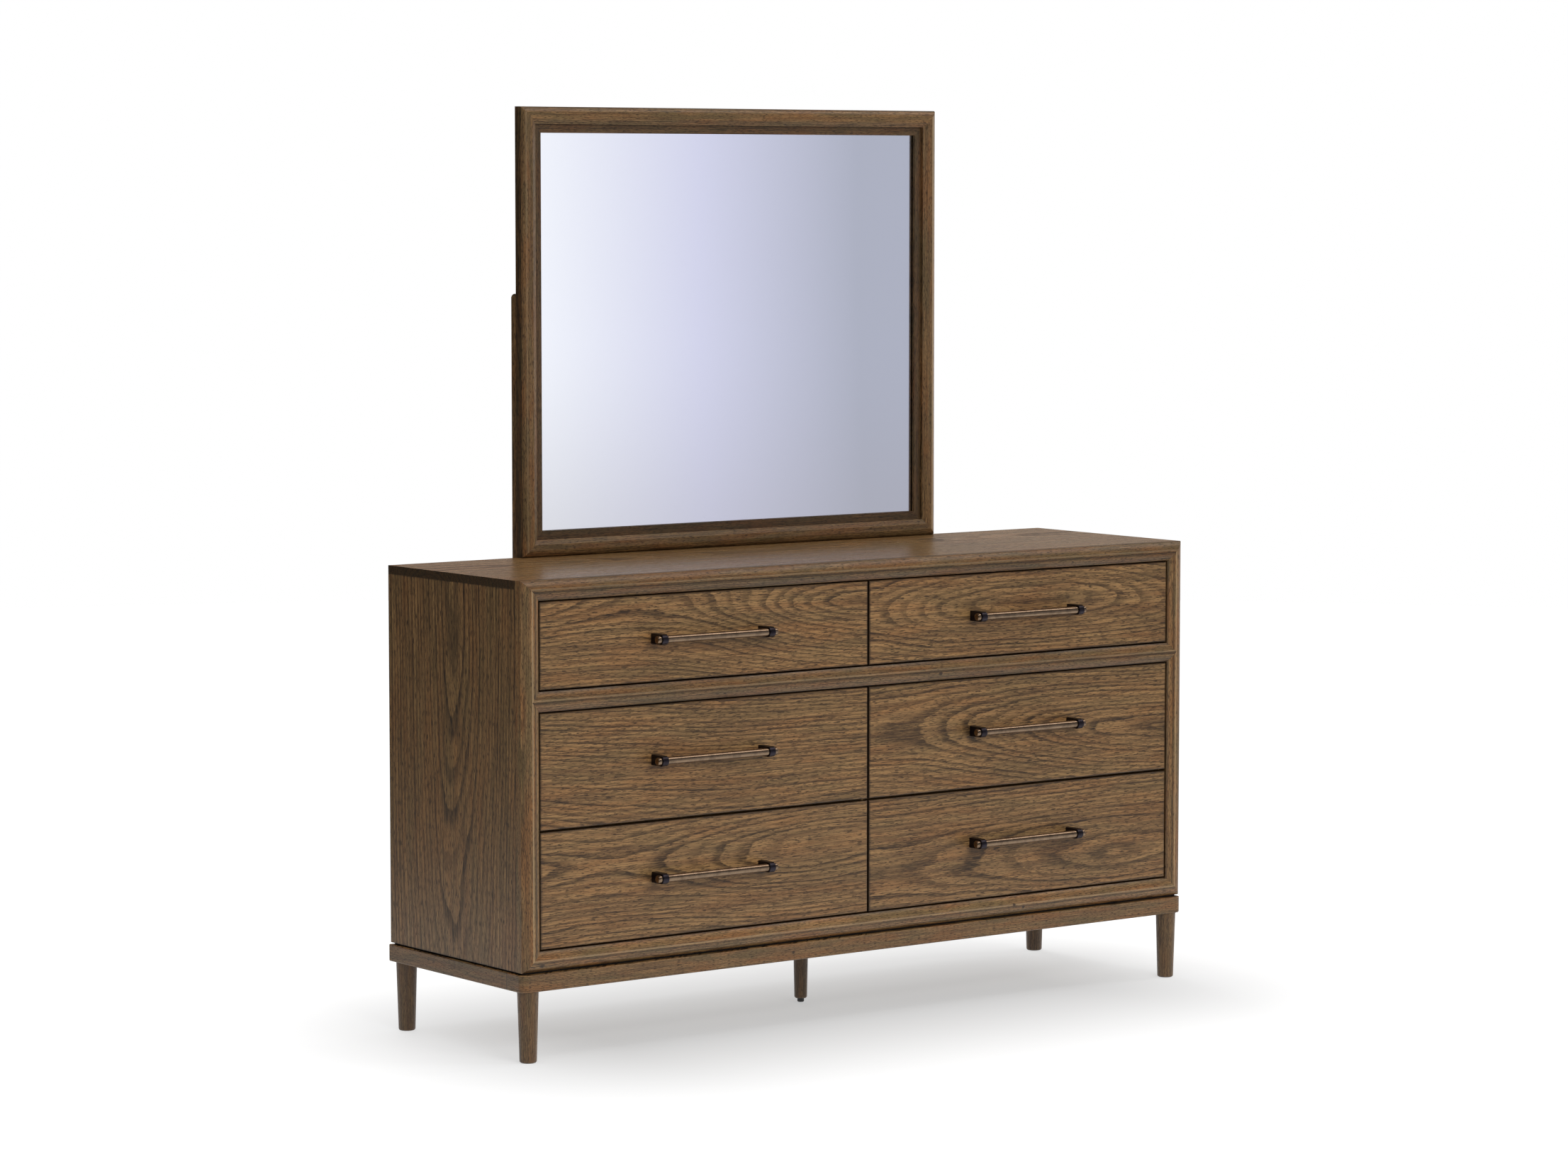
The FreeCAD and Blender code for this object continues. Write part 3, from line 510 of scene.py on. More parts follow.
class MetalSettings(bpy.types.PropertyGroup):
    brass: colour_setting("Brass", "#8A7560", "Aged brass of the bars")
    brass_tarnish: colour_setting("Brass tarnish", "#675748", "Browner clouds on the brass")
    bronze: colour_setting("Bronze", "#37333A", "Dark bronze of the posts")
    bronze_tarnish: colour_setting("Bronze tarnish", "#2A2426", "Darker clouds on the bronze")
    zinc: colour_setting("Zinc", "#B9BBBE", "Zinc plating of runners and screws")
    zinc_bloom: colour_setting("Zinc bloom", "#8E9194", "Duller clouds on the zinc")


class FastenerSettings(bpy.types.PropertyGroup):
    screw_head: length_setting("Screw head", 6.4 * MM, "Diameter of the runner screws' heads")
    screw_rise: length_setting("Screw head height", 1.5 * MM, "Height of the runner screws' heads")
    brad_head: length_setting("Brad head", 3.2 * MM, "Diameter of the back panel's brads")
    brad_spacing: length_setting("Brad spacing", 140 * MM, "Distance between the back panel's brads")
    point_length: length_setting("Glazing point", 16 * MM, "Length of the points behind the mirror")


class StageSettings(bpy.types.PropertyGroup):
    floor_radius: length_setting("Floor radius", 9.0, "Radius of the round studio floor")
    floor_colour: colour_setting("Floor", "#969696", "Painted studio floor near the dresser")
    floor_glow: share_setting("Floor glow", 0.41, "How far the floor near the dresser is lifted to white")
    front_power: power_setting("Front light", 127.0, "Power of the large box in front")
    crown_power: power_setting("Crown light", 18.0, "Power of the small box above the front edge")
    rim_power: power_setting("Rim light", 43.0, "Power of the narrow box at the right")
    left_power: power_setting("Left light", 5.0, "Power of the low box at the left")
    back_power: power_setting("Back light", 64.0, "Power of the box behind")
    ceiling_strength: share_setting("Ceiling", 1.0, "Light from overhead")
    dome_strength: share_setting("Dome", 0.1, "Light from all round")


# ---------------- meshes
def finished_mesh(bm, name):
    mesh = bpy.data.meshes.new(name)
    bm.to_mesh(mesh)
    bm.free()
    return mesh


def new_object(name, data):
    piece = bpy.data.objects.new(name, data)
    bpy.context.scene.collection.objects.link(piece)
    return piece


def repeated(name, pattern, matrices, body, material):
    """One zinc-plated piece made of a pattern mesh repeated at each matrix, riding on a body."""
    bm = bmesh.new()
    for matrix in matrices:
        start = len(bm.verts)
        bm.from_mesh(pattern)
        bm.verts.ensure_lookup_table()
        bmesh.ops.transform(bm, matrix=matrix, verts=bm.verts[start:])
    mesh = finished_mesh(bm, name)
    mesh.materials.append(material)
    piece = new_object(name, mesh)
    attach(piece, body)


def lathe_mesh(name, profile, steps=24):
    """A mesh turned round its own Z from (radius, height) points that start and end on the axis."""
    bm = bmesh.new()
    loops = []
    for radius, height in profile:
        if radius == 0:
            loops.append([bm.verts.new((0, 0, height))] * steps)
        else:
            angles = [math.tau * step / steps for step in range(steps)]
            loops.append([bm.verts.new((radius * math.cos(a), radius * math.sin(a), height)) for a in angles])
    for lower, upper in zip(loops, loops[1:]):
        for step in range(steps):
            following = (step + 1) % steps
            corners = [lower[step], lower[following], upper[following], upper[step]]
            bm.faces.new(list(dict.fromkeys(corners))).smooth = True
    bmesh.ops.recalc_face_normals(bm, faces=bm.faces)
    return finished_mesh(bm, name)


def cross_recessed_head(radius, height):
    """A pan head with a cross recess, standing on its own XY plane."""
    profile = [(0, 0), (radius, 0), (radius, 0.35 * height)]
    for step in range(1, 5):
        angle = math.pi / 2 * step / 5
        bulge = 0.35 * height + 0.65 * height * math.sin(angle)
        profile.append((radius * (0.55 + 0.45 * math.cos(angle)), bulge))
    profile.append((0, height))
    head = new_object("screw_head_pattern", lathe_mesh("screw_head_pattern", profile))
    bm = bmesh.new()
    size = Matrix.Diagonal((1.1 * radius, 0.24 * radius, height, 1))
    for turn in (0, math.pi / 2):
        blade = bmesh.ops.create_cube(bm, size=1)["verts"]
        place = Matrix.Translation((0, 0, height)) @ Matrix.Rotation(turn, 4, "Z") @ size
        bmesh.ops.transform(bm, matrix=place, verts=blade)
    recess = new_object("recess", finished_mesh(bm, "recess"))
    cut = head.modifiers.new("recess", "BOOLEAN")
    cut.operation = "DIFFERENCE"
    cut.use_self = True
    cut.object = recess
    evaluated = head.evaluated_get(bpy.context.evaluated_depsgraph_get())
    mesh = bpy.data.meshes.new_from_object(evaluated)
    bpy.data.objects.remove(head)
    bpy.data.objects.remove(recess)
    mesh.shade_smooth()
    mesh.set_sharp_from_angle(angle=math.radians(35))
    return mesh


def standing_at(place, outward):
    """The matrix that stands a pattern's Z along an outward direction at a place."""
    turn = Vector(outward).to_track_quat("Z", "Y").to_matrix().to_4x4()
    return Matrix.Translation(place) @ turn


# ---------------- operators
# Where each board's heart runs decides whether it shows arches, eyes or near-straight lines.
FRONT_CUTS = {
    "top_left": Cut(
        "xzy", heart=59, lean=-0.083, depth=58, swing=34, swing_length=1100, swing_start=-120, seed=1.0
    ),
    "top_right": Cut("xzy", heart=4, depth=58, swing=30, swing_length=1250, swing_start=-590, seed=2.3),
    "middle_left": Cut("xzy", heart=-190, lean=-0.05, depth=70, swing=20, swing_length=1500, seed=3.1),
    "middle_right": Cut(
        "xzy", heart=-12, lean=-0.06, depth=66, swing=34, swing_length=1600, swing_start=-420, seed=4.2
    ),
    "bottom_left": Cut("xzy", heart=14, depth=60, swing=22, swing_length=1000, swing_start=-240, seed=5.4),
    "bottom_right": Cut("xzy", heart=-52, depth=92, swing=14, swing_length=1500, swing_start=-420, seed=6.7),
}


class DRESSER_OT_drawer_fronts(bpy.types.Operator):
    """Finish the six drawer fronts in stained oak veneer"""

    bl_idname = "dresser.drawer_fronts"
    bl_label = "Drawer fronts"

    def execute(self, context):
        wood = context.scene.dresser_wood
        for place, cut in FRONT_CUTS.items():
            node = "drawer_front_" + place
            name = "stained oak veneer " + place.replace("_", " ")
            # Glaze along the fronts' edges, with painted shade beside the gaps round them.
            dress(node, stained_oak(name, node, cut, wood, wood.glaze_and_shade_width))
        return {"FINISHED"}


class DRESSER_OT_case_boards(bpy.types.Operator):
    """Finish the top and the sides in stained oak veneer"""

    bl_idname = "dresser.case_boards"
    bl_label = "Case boards"

    def execute(self, context):
        wood = context.scene.dresser_wood
        side = Cut("zyx", heart=-34, depth=74, swing=30, swing_length=1700, swing_start=-500, ring=10.0)
        side = replace(side, seed=8.0, coarse=1.25)
        top = Cut("xyz", heart=60, depth=90, swing=20, swing_length=1500, ring=10.0, seed=7.0, coarse=1.2)
        # Glaze along the side panels' edges, with painted shade at their joints with the top and the stiles.
        # The top's tone is partly painted sheen.
        edges = {"glaze_and_shade_width": 2.6 * MM, "tone_and_painted_light": -0.03}
        boards = {
            "top_panel": (top, {"tone_and_painted_light": 0.14, "polish": 0.1}),
            "left_side_panel": (side, edges),
            "right_side_panel": (replace(side, heart=60, seed=9.0), edges),
        }
        for node, (cut, finish) in boards.items():
            name = "stained oak veneer " + node.replace("_", " ")
            dress(node, stained_oak(name, node, cut, wood, **finish))
        return {"FINISHED"}


class DRESSER_OT_face_frame(bpy.types.Operator):
    """Finish the crowned face frame in solid stained oak"""

    bl_idname = "dresser.face_frame"
    bl_label = "Face frame"

    def execute(self, context):
        wood = context.scene.dresser_wood
        cuts = {
            "left_stile": solid("zxy", -250, 120, 10.0),
            "right_stile": solid("zxy", 250, 120, 11.0),
            "top_rail": solid("xzy", -200, 90, 12.0),
            "middle_rail": solid("xzy", -230, 90, 13.0),
            "bottom_rail": solid("xzy", -180, 90, 14.0),
        }
        # The tones are partly the solid oak's own colour and partly painted shade and light: the top and
        # middle rails are darkened against the light their crowns take from above, and the bottom rail is
        # lightened.
        tones_and_painted_light = {"top_rail": -0.33, "middle_rail": -0.22, "bottom_rail": 0.08}
        knots = {
            "middle_rail": [(172, -6, 5)],
            "bottom_rail": [(-762, -7, 6), (359, 2, 5), (383, -5, 4)],
        }
        for node, cut in cuts.items():
            name = "stained solid oak " + node.replace("_", " ")
            # Glaze along the middle and bottom rails' edges, with painted shade beside the drawer gaps.
            width = 2.5 * MM if node in ("middle_rail", "bottom_rail") else 0.0
            tone_and_painted_light, marks = tones_and_painted_light.get(node, 0.04), self.marks(node, wood)
            dress(node, stained_oak(name, node, cut, wood, width, tone_and_painted_light, knots.get(node, ()), None, marks))
        return {"FINISHED"}

    def marks(self, node, wood):
        """A painted highlight on the crest and a painted shade line just inside it, and on a stile painted
        shade along its inner edge and, with a dark joint, at its shoulder by the side panel.
        """
        if node.endswith("stile"):
            side = -1 if node == "left_stile" else 1
            return [
                ("x", side * 0.7804, 1.5 * MM, 0.33, wood.crest_highlight),
                ("x", side * 0.7742, 1.8 * MM, 0.6, wood.glaze_and_shade),
                ("x", side * 0.7625, 2.5 * MM, 0.5, wood.glaze_and_shade),
                ("x", side * 0.792, 6 * MM, 0.3, wood.glaze_and_shade),
            ]
        crest_highlight, groove_shade = {
            "top_rail": (0.8722, 0.8672),
            "middle_rail": (0.6685, 0.6645),
            "bottom_rail": (0.1892, 0.1852),
        }[node]
        return [("z", crest_highlight, 1.5 * MM, 0.25, wood.crest_highlight), ("z", groove_shade, 1.8 * MM, 0.6, wood.glaze_and_shade)]


class DRESSER_OT_base(bpy.types.Operator):
    """Finish the base rails and the turned legs in solid stained oak"""

    bl_idname = "dresser.base"
    bl_label = "Base and legs"

    def execute(self, context):
        wood = context.scene.dresser_wood
        rail = solid("xzy", -220, 90, 15.0, wrapped=True)
        # The front rail's returns meet the side rails in a dark joint.
        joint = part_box("base_front_rail")[1].y
        stripes = [("y", joint, 1 * MM, 0.8, wood.glaze_and_shade)]
        rails = {
            "base_front_rail": (rail, [(-158, 0, 4)]),
            "base_side_and_back_rails": (replace(rail, seed=16.0), []),
        }
        for node, (cut, knots) in rails.items():
            name = "stained solid oak " + node.replace("_", " ")
            dress(node, stained_oak(name, node, cut, wood, 0, -0.13, knots, None, stripes))
        leg = Cut("zxy", depth=120, ring=2.6, seed=17.0, coarse=0.7, stained=0.75)
        # The legs are darkened as painted shade, for the shade under the dresser.
        turned = stained_oak("stained turned oak", "front_legs", leg, wood, tone_and_painted_light=-0.44)
        for node in ("front_legs", "rear_legs", "centre_leg"):
            dress(node, turned)
        dress("centre_leg_glide", moulded_nylon())
        return {"FINISHED"}


class DRESSER_OT_inside(bpy.types.Operator):
    """Finish the boards, boxes and back that show when a drawer is open or from behind"""

    bl_idname = "dresser.inside"
    bl_label = "Inside boards"

    def execute(self, context):
        bottom_cut = Cut("xyz", heart=60, depth=90, swing=20, ring=6.0, seed=18.5)
        pine_cut = replace(bottom_cut, turned="yzx", seed=18.0)
        box_cut = Cut("xzy", "yzx", heart=160, depth=120, ring=7.0, seed=19.0)
        pine_look = ("#C6A374", "#8A6136", 0.6)
        pine = plain_wood("planed pine", "case_bottom", pine_cut, *pine_look)
        # The case bottom's edge under the shadow line is painted black: paint, and painted shade.
        name = "planed pine with a painted edge"
        bottom = plain_wood(name, "case_bottom", bottom_cut, *pine_look, black_shadow_edge=30 * MM)
        poplar_look = ("#CDB68C", "#9C7F52", 0.45, 0.4)
        poplar = plain_wood("sealed poplar", "drawer_box_middle_left", box_cut, *poplar_look)
        dress("case_bottom", bottom)
        hidden = ("centre_partition", "drawer_dividers", "runner_battens")
        for node in (*hidden, "base_stretchers", "base_corner_blocks"):
            dress(node, pine)
        for row, side in DRAWERS:
            dress(f"drawer_box_{row}_{side}", poplar)
        board = tempered_hardboard(context.scene.dresser_wood)
        dress("back_panel", board)
        dress("mirror_backing", board)
        return {"FINISHED"}


class DRESSER_OT_pulls(bpy.types.Operator):
    """Finish the bars in aged brass and their posts in dark bronze"""

    bl_idname = "dresser.pulls"
    bl_label = "Pulls"

    def execute(self, context):
        metal = context.scene.dresser_metal
        brass, bronze = aged_brass(metal), dark_bronze(metal)
        for row, side in DRAWERS:
            dress(f"pull_bar_{row}_{side}", brass)
            dress(f"pull_posts_{row}_{side}", bronze)
        return {"FINISHED"}


class DRESSER_OT_runners(bpy.types.Operator):
    """Finish the runners in zinc-plated steel and add their screws"""

    bl_idname = "dresser.runners"
    bl_label = "Runners"

    def execute(self, context):
        settings = context.scene.dresser_fasteners
        zinc = zinc_plate(context.scene.dresser_metal)
        dress("case_runners", zinc)
        dress("leg_bolts", zinc)
        head = cross_recessed_head(settings.screw_head / 2, settings.screw_rise)
        # The runners' sheet, the space between case and drawer box, and where a row of screws ends.
        sheet, space, end = 1.3 * MM, 12.7 * MM, 40 * MM
        case_screws = []
        for row, side in DRAWERS:
            node = f"drawer_runners_{row}_{side}"
            dress(node, zinc)
            low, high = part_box(node)
            box_low, box_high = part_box(f"drawer_box_{row}_{side}")
            height = (low.z + high.z) / 2
            places = [low.y + end, (low.y + high.y) / 2, high.y - end]
            drawer_screws = []
            for x, outward, screws in (
                (box_low.x - sheet, -1, drawer_screws),
                (box_high.x + sheet, 1, drawer_screws),
                (box_low.x - space + sheet, 1, case_screws),
                (box_high.x + space - sheet, -1, case_screws),
            ):
                screws += [standing_at((x, y, height), (outward, 0, 0)) for y in places]
            repeated(f"runner_screws_{row}_{side}", head, drawer_screws, f"drawer_{row}_{side}", zinc)
        repeated("case_runner_screws", head, case_screws, "case", zinc)
        return {"FINISHED"}


class DRESSER_OT_mirror(bpy.types.Operator):
    """Finish the mirror's frame and supports, and silver the back of its glass"""

    bl_idname = "dresser.mirror"
    bl_label = "Mirror"

    def execute(self, context):
        wood = context.scene.dresser_wood
        # Behind a point 8 mm back from the frame's front, glaze and painted shade gather on the lip and outer
        # flanks.
        low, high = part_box("mirror_frame_sides")
        recess = (low + high) / 2
        recess.y = low.y + 8 * MM
        # Painted highlights along the side members' crowns, stronger on the right member, which the light
        # from the right catches.
        crest_highlights = (("x", -0.4985, 1.5 * MM, 0.15, wood.crest_highlight), ("x", 0.497, 2 * MM, 0.55, wood.crest_highlight))
        # The tones are partly the oak's own colour and partly painted shade, darkest on the bottom member,
        # which takes the most light from above.
        members = {
            "mirror_frame_top": (solid("xzy", -220, 90, 20.0), -0.17, recess, ()),
            "mirror_frame_bottom": (solid("xzy", -220, 90, 21.0), -0.42, recess, ()),
            "mirror_frame_sides": (solid("zxy", 0, 60, 22.0), -0.27, recess, crest_highlights),
            "mirror_supports": (Cut("zxy", heart=200, depth=100, ring=4.0, seed=23.0), -0.3, None, ()),
        }
        for node, (cut, tone_and_painted_light, behind, stripes) in members.items():
            name = "stained solid oak " + node.replace("_", " ")
            dress(node, stained_oak(name, node, cut, wood, 0, tone_and_painted_light, (), behind, stripes))
        dress("mirror_glass", float_glass())
        self.silver_back()
        return {"FINISHED"}

    def silver_back(self):
        """A film inside the glass, just in front of its back and a little smaller."""
        low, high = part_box("mirror_glass")
        margin, film = 1.0 * MM, 0.15 * MM
        left, right, bottom, top = low.x + margin, high.x - margin, low.z + margin, high.z - margin
        around = ((left, bottom), (right, bottom), (right, top), (left, top))
        mesh = bpy.data.meshes.new("mirror_silvering")
        mesh.from_pydata([(x, high.y - film, z) for x, z in around], [], [(0, 1, 2, 3)])
        mesh.materials.append(mirror_silver())
        piece = new_object("mirror_silvering", mesh)
        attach(piece, "case")


class DRESSER_OT_back_fasteners(bpy.types.Operator):
    """Add the back panel's brads and the points behind the mirror, and finish the support screws"""

    bl_idname = "dresser.back_fasteners"
    bl_label = "Fasteners at the back"

    def execute(self, context):
        settings = context.scene.dresser_fasteners
        zinc = bpy.data.materials["zinc-plated steel"]
        self.brads(settings, zinc)
        self.points(settings, zinc)
        dress("support_screws", zinc)
        return {"FINISHED"}

    def brads(self, settings, zinc):
        """Brads all round the back panel, and a row into the partition behind its middle."""
        radius = settings.brad_head / 2
        profile = [(0, 0), (radius, 0), (0.8 * radius, 0.25 * radius), (0, 0.35 * radius)]
        head = lathe_mesh("brad_pattern", profile, 12)
        low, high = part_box("back_panel")
        inset = 6 * MM
        left, right, bottom, top = low.x + inset, high.x - inset, low.z + inset, high.z - inset
        count_x = round((high.x - low.x) / settings.brad_spacing)
        count_z = round((high.z - low.z) / settings.brad_spacing)
        step_x = (high.x - low.x - 2 * inset) / count_x
        step_z = (high.z - low.z - 2 * inset) / count_z
        places = [(left + i * step_x, z) for i in range(count_x + 1) for z in (bottom, top)]
        places += [(x, bottom + i * step_z) for i in range(1, count_z) for x in (left, 0, right)]
        matrices = [standing_at((x, high.y, z), (0, 1, 0)) for x, z in places]
        repeated("back_panel_brads", head, matrices, "case", zinc)

    def points(self, settings, zinc):
        """Thin diamond-shaped points, driven into the rabbet's wall over the backing."""
        half, reach, sheet = settings.point_length / 2, 5 * MM, 0.3 * MM
        bm = bmesh.new()
        outline = [(-half, 0), (0, -reach), (half, 0), (0, reach)]
        face = bm.faces.new([bm.verts.new((x, y, 0)) for x, y in outline])
        bmesh.ops.solidify(bm, geom=[face], thickness=sheet)
        pattern = finished_mesh(bm, "point_pattern")
        low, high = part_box("mirror_backing")
        inset = 1 * MM
        places = []
        for share in (-0.75, -0.25, 0.25, 0.75):
            places += [(share * high.x, z) for z in (low.z + inset, high.z - inset)]
        for share in (0.2, 0.5, 0.8):
            height = low.z + share * (high.z - low.z)
            places += [(x, height) for x in (low.x + inset, high.x - inset)]
        matrices = [standing_at((x, high.y + sheet / 2, z), (0, 1, 0)) for x, z in places]
        repeated("mirror_glazing_points", pattern, matrices, "case", zinc)


class DRESSER_OT_stage(bpy.types.Operator):
    """Set up the floor, the lights, the world and the camera"""

    bl_idname = "dresser.stage"
    bl_label = "Stage"

    def execute(self, context):
        settings = context.scene.dresser_stage
        context.scene.view_settings.view_transform = "Standard"
        self.floor(settings)
        self.lights(settings)
        self.world(settings)
        self.camera()
        return {"FINISHED"}

    def floor(self, settings):
        """Matt paint that keeps the dresser's shadow and is lifted to white away from it.

        The lift is for the camera. Shiny pieces see the floor glow near the dresser and in front of it,
        and matt ones get a little light from the floor around it, but none from under it.
        """
        bm = bmesh.new()
        bmesh.ops.create_circle(bm, cap_ends=True, radius=settings.floor_radius, segments=96)
        mesh = finished_mesh(bm, "studio_floor")
        material, tree = new_material("matt white floor paint")
        metres = add(tree, "TexCoord", [], "Object")
        # Metres away from the rectangle under the dresser.
        away = add(tree, "VectorMath ADD", [metres, (0, 0.1, 0)])
        away = add(tree, "VectorMath ABSOLUTE", [away])
        away = add(tree, "VectorMath SUBTRACT", [away, (0.54, 0.1, 0)])
        away = add(tree, "VectorMath MAXIMUM", [away])
        away = add(tree, "VectorMath LENGTH", [away], out="Value")
        outer = add(tree, "MapRange", [away, 0.8, 3.0], **SMOOTH)
        greys = {MIX_A: rgba(settings.floor_colour), MIX_B: rgba(linear("#5A5A5A"))}
        paint = add(tree, "BsdfDiffuse", {"Color": add(tree, "Mix", {0: outer, **greys}, **COLOURS)})
        lift = settings.floor_glow
        # The camera's lift grows from under the dresser outward, so the shadow's soft edge is partly painted
        # shadow.
        near = add(tree, "MapRange", [away, -0.2, 0.9, lift, lift + 0.49], **SMOOTH)
        seen = add(tree, "Math MULTIPLY_ADD", [outer, 0.15, near])
        forward = add(tree, "SeparateXYZ", [metres], out=1)
        far_glow = add(tree, "MapRange", [forward, -0.5, -2.5, 0, 0.27], **SMOOTH)
        mirrored = add(tree, "MapRange", [away, 3.0, 0.8, far_glow, 0.75], **SMOOTH)
        bounced = add(tree, "MapRange", [away, 0.0, 0.5, 0, 0.24], **SMOOTH)
        path = add(tree, "LightPath", [], None)
        glow = add(tree, "Math MULTIPLY", [path["Is Glossy Ray"], mirrored])
        glow = add(tree, "Math MULTIPLY_ADD", [path["Is Diffuse Ray"], bounced, glow])
        glow = add(tree, "Math MULTIPLY_ADD", [path["Is Camera Ray"], seen, glow])
        glow = add(tree, "Emission", {"Strength": glow})
        mesh.materials.append(finish_material(material, add(tree, "AddShader", [paint, glow])))
        piece = new_object("studio_floor", mesh)
        piece.location.z = -0.2 * MM

    def lights(self, settings):
        """Soft boxes that shiny pieces don't show, or the top would glare; the room gives the gloss."""
        softboxes = (
            ("front_softbox", settings.front_power, (-0.6, -5.0, 2.6), (3.2, 2.2)),
            ("crown_softbox", settings.crown_power, (1.4, -1.9, 4.1), (0.9, 0.9)),
            ("rim_softbox", settings.rim_power, (4.6, -0.8, 1.4), (0.8, 2.4)),
            ("left_softbox", settings.left_power, (-4.4, -1.6, 0.5), (1.4, 0.9)),
            ("back_softbox", settings.back_power, (1.2, 4.6, 2.6), (2.6, 1.8)),
        )
        aim = Vector((0, 0, 0.7))
        for name, power, place, size in softboxes:
            lamp = bpy.data.lights.new(name, "AREA")
            lamp.energy = power
            lamp.shape = "RECTANGLE"
            lamp.size, lamp.size_y = size
            softbox = new_object(name, lamp)
            softbox.location = place
            softbox.rotation_euler = (Vector(place) - aim).to_track_quat("Z", "Y").to_euler()
            softbox.visible_glossy = False
            softbox.visible_transmission = False

    def world(self, settings):
        """White to the camera, soft light from overhead, and to shiny pieces a room."""
        world = bpy.data.worlds.new("studio")
        bpy.context.scene.world = world
        world.use_nodes = True
        tree = world.node_tree
        tree.nodes.clear()
        direction = add(tree, "TexCoord", [], "Generated")
        right, back, high = add(tree, "SeparateXYZ", [direction], out=None)
        room = self.room(tree, right, back, high)
        brightness = self.strips(tree, right, back, high)
        mirrored = add(tree, "Background", {"Color": room, "Strength": brightness})
        overhead = add(tree, "Math MAXIMUM", [high, 0.0])
        overhead = add(tree, "Math MULTIPLY", [overhead, overhead])
        soft = add(tree, "Math MULTIPLY_ADD", [overhead, settings.ceiling_strength, settings.dome_strength])
        white = rgba(linear("#FFFFFF"))
        dome = add(tree, "Background", {"Color": white, "Strength": soft})
        backdrop = add(tree, "Background", {"Color": white})
        path = add(tree, "LightPath", [], None)
        shiny = add(tree, "Math MAXIMUM", [path["Is Glossy Ray"], path["Is Transmission Ray"]])
        light = add(tree, "MixShader", [shiny, dome, mirrored])
        light = add(tree, "MixShader", [path["Is Camera Ray"], light, backdrop])
        add(tree, "OutputWorld", {"Surface": light}, out=None)

    def room(self, tree, right, back, high):
        """A card in front on the right, which goes from white through blue to grey, and dim walls."""
        pale, blue, grey = [rgba(linear(tint)) for tint in ("#F3F6FF", "#D5D7EE", "#AFB3C4")]
        to_blue = add(tree, "MapRange", [right, 0.558, 0.585])
        to_grey = add(tree, "MapRange", [right, 0.585, 0.612])
        card = add(tree, "Mix", {0: to_blue, MIX_A: pale, MIX_B: blue}, **COLOURS)
        card = add(tree, "Mix", {0: to_grey, MIX_A: card, MIX_B: grey}, **COLOURS)
        to_foot = add(tree, "MapRange", [high, -0.03, -0.1, 0, 0.5], **SMOOTH)
        card = add(tree, "Mix", {0: to_foot, MIX_A: card, MIX_B: rgba(linear("#A4A1A6"))}, **COLOURS)
        # The card fades out at its left, right, upper and lower edges, and behind.
        off_card = add(tree, "MapRange", [back, -0.72, -0.5], **SMOOTH)
        edges = ((right, 0.53, 0.4), (right, 0.66, 0.78), (high, 0.11, 0.3), (high, -0.1, -0.25))
        for part, near, far in edges:
            away = add(tree, "MapRange", [part, near, far], **SMOOTH)
            off_card = add(tree, "Math MAXIMUM", [off_card, away])
        # In front the walls are grey. Beside and behind, they go from nearly black to warm grey at the right.
        far_right = add(tree, "MapRange", [right, 0.55, 0.63], **SMOOTH)
        to_right = add(tree, "MapRange", [right, 0.1, 0.5], **SMOOTH)
        behind = add(tree, "MapRange", [back, -0.5, 0.3], **SMOOTH)
        black, warm, warmer, plain = [
            rgba(linear(tint)) for tint in ("#131211", "#938884", "#A7A09B", "#737170")
        ]
        wall = add(tree, "Mix", {0: far_right, MIX_A: warm, MIX_B: warmer}, **COLOURS)
        wall = add(tree, "Mix", {0: to_right, MIX_A: black, MIX_B: wall}, **COLOURS)
        wall = add(tree, "Mix", {0: behind, MIX_A: plain, MIX_B: wall}, **COLOURS)
        return add(tree, "Mix", {0: off_card, MIX_A: card, MIX_B: wall}, **COLOURS)

    def strips(self, tree, right, back, high):
        """The room's brightness: a bright strip above the front, for the bars, and one at the right."""
        upper = add(tree, "MapRange", [high, 0.66, 0.72], **SMOOTH)
        lower = add(tree, "MapRange", [high, 0.87, 0.81], **SMOOTH)
        front = add(tree, "MapRange", [back, 0.05, -0.05], **SMOOTH)
        strip = add(tree, "Math MULTIPLY", [upper, lower])
        strip = add(tree, "Math MULTIPLY", [strip, front])
        rim = add(tree, "MapRange", [right, 0.82, 0.9, 0, 0.3], **SMOOTH)
        beside = add(tree, "MapRange", [back, -0.7, -0.5], **SMOOTH)
        rim = add(tree, "Math MULTIPLY", [rim, beside])
        strip = add(tree, "Math MAXIMUM", [strip, rim])
        return add(tree, "Math MULTIPLY_ADD", [strip, 12.0, 1.0])

    def camera(self):
        """A long lens at the left, above the top, that looks down a little at the front corner."""
        lens = bpy.data.cameras.new("camera")
        lens.lens = 107.12
        lens.clip_end = 100
        camera = new_object("camera", lens)
        camera.location = (-5.4769, -7.2539, 1.6106)
        pitch, yaw = math.radians(4.969), math.radians(36.847)
        camera.rotation_euler = (math.pi / 2 - pitch, 0, -yaw)
        bpy.context.scene.camera = camera


class DRESSER_PT_panel(bpy.types.Panel):
    """Lists the steps that finish the dresser, and its sizes and colours"""

    bl_idname = "DRESSER_PT_panel"
    bl_label = "Dresser with mirror"
    bl_space_type = "VIEW_3D"
    bl_region_type = "UI"
    bl_category = "Dresser"

    def draw(self, context):
        for step in STEPS:
            self.layout.operator(step.bl_idname)
        for attribute, settings in SETTINGS.items():
            box = self.layout.box()
            box.label(text=attribute.replace("_", " "))
            for name in settings.__annotations__:
                box.prop(getattr(context.scene, attribute), name)


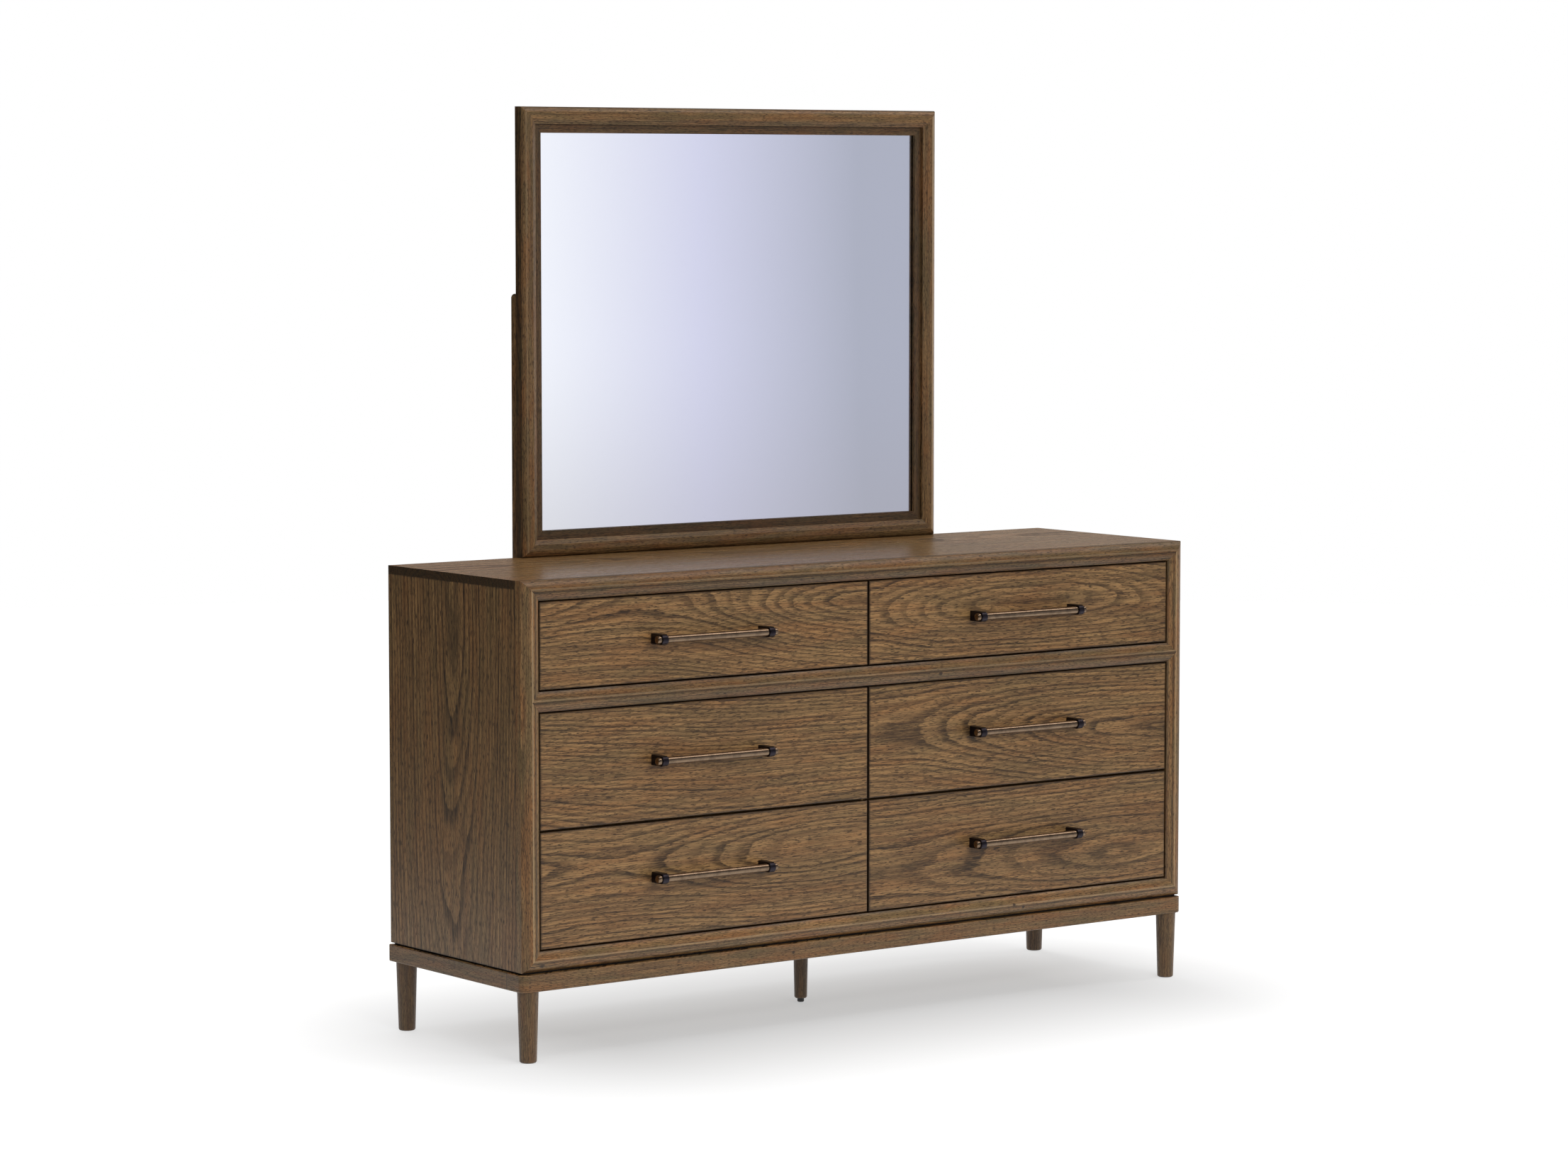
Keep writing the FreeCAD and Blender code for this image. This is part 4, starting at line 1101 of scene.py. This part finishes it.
SETTINGS = {
    "dresser_wood": WoodSettings,
    "dresser_metal": MetalSettings,
    "dresser_fasteners": FastenerSettings,
    "dresser_stage": StageSettings,
}
STEPS = (
    DRESSER_OT_stage,
    DRESSER_OT_case_boards,
    DRESSER_OT_face_frame,
    DRESSER_OT_drawer_fronts,
    DRESSER_OT_base,
    DRESSER_OT_inside,
    DRESSER_OT_pulls,
    DRESSER_OT_runners,
    DRESSER_OT_mirror,
    DRESSER_OT_back_fasteners,
)


def register():
    for kind in (*SETTINGS.values(), *STEPS, DRESSER_PT_panel):
        bpy.utils.register_class(kind)
    for attribute, kind in SETTINGS.items():
        setattr(bpy.types.Scene, attribute, PointerProperty(type=kind))


def unregister():
    for attribute in SETTINGS:
        delattr(bpy.types.Scene, attribute)
    for kind in reversed((*SETTINGS.values(), *STEPS, DRESSER_PT_panel)):
        bpy.utils.unregister_class(kind)


def main():
    register()
    for step in STEPS:
        group, name = step.bl_idname.split(".")
        getattr(getattr(bpy.ops, group), name)()


if __name__ == "__main__":
    main()
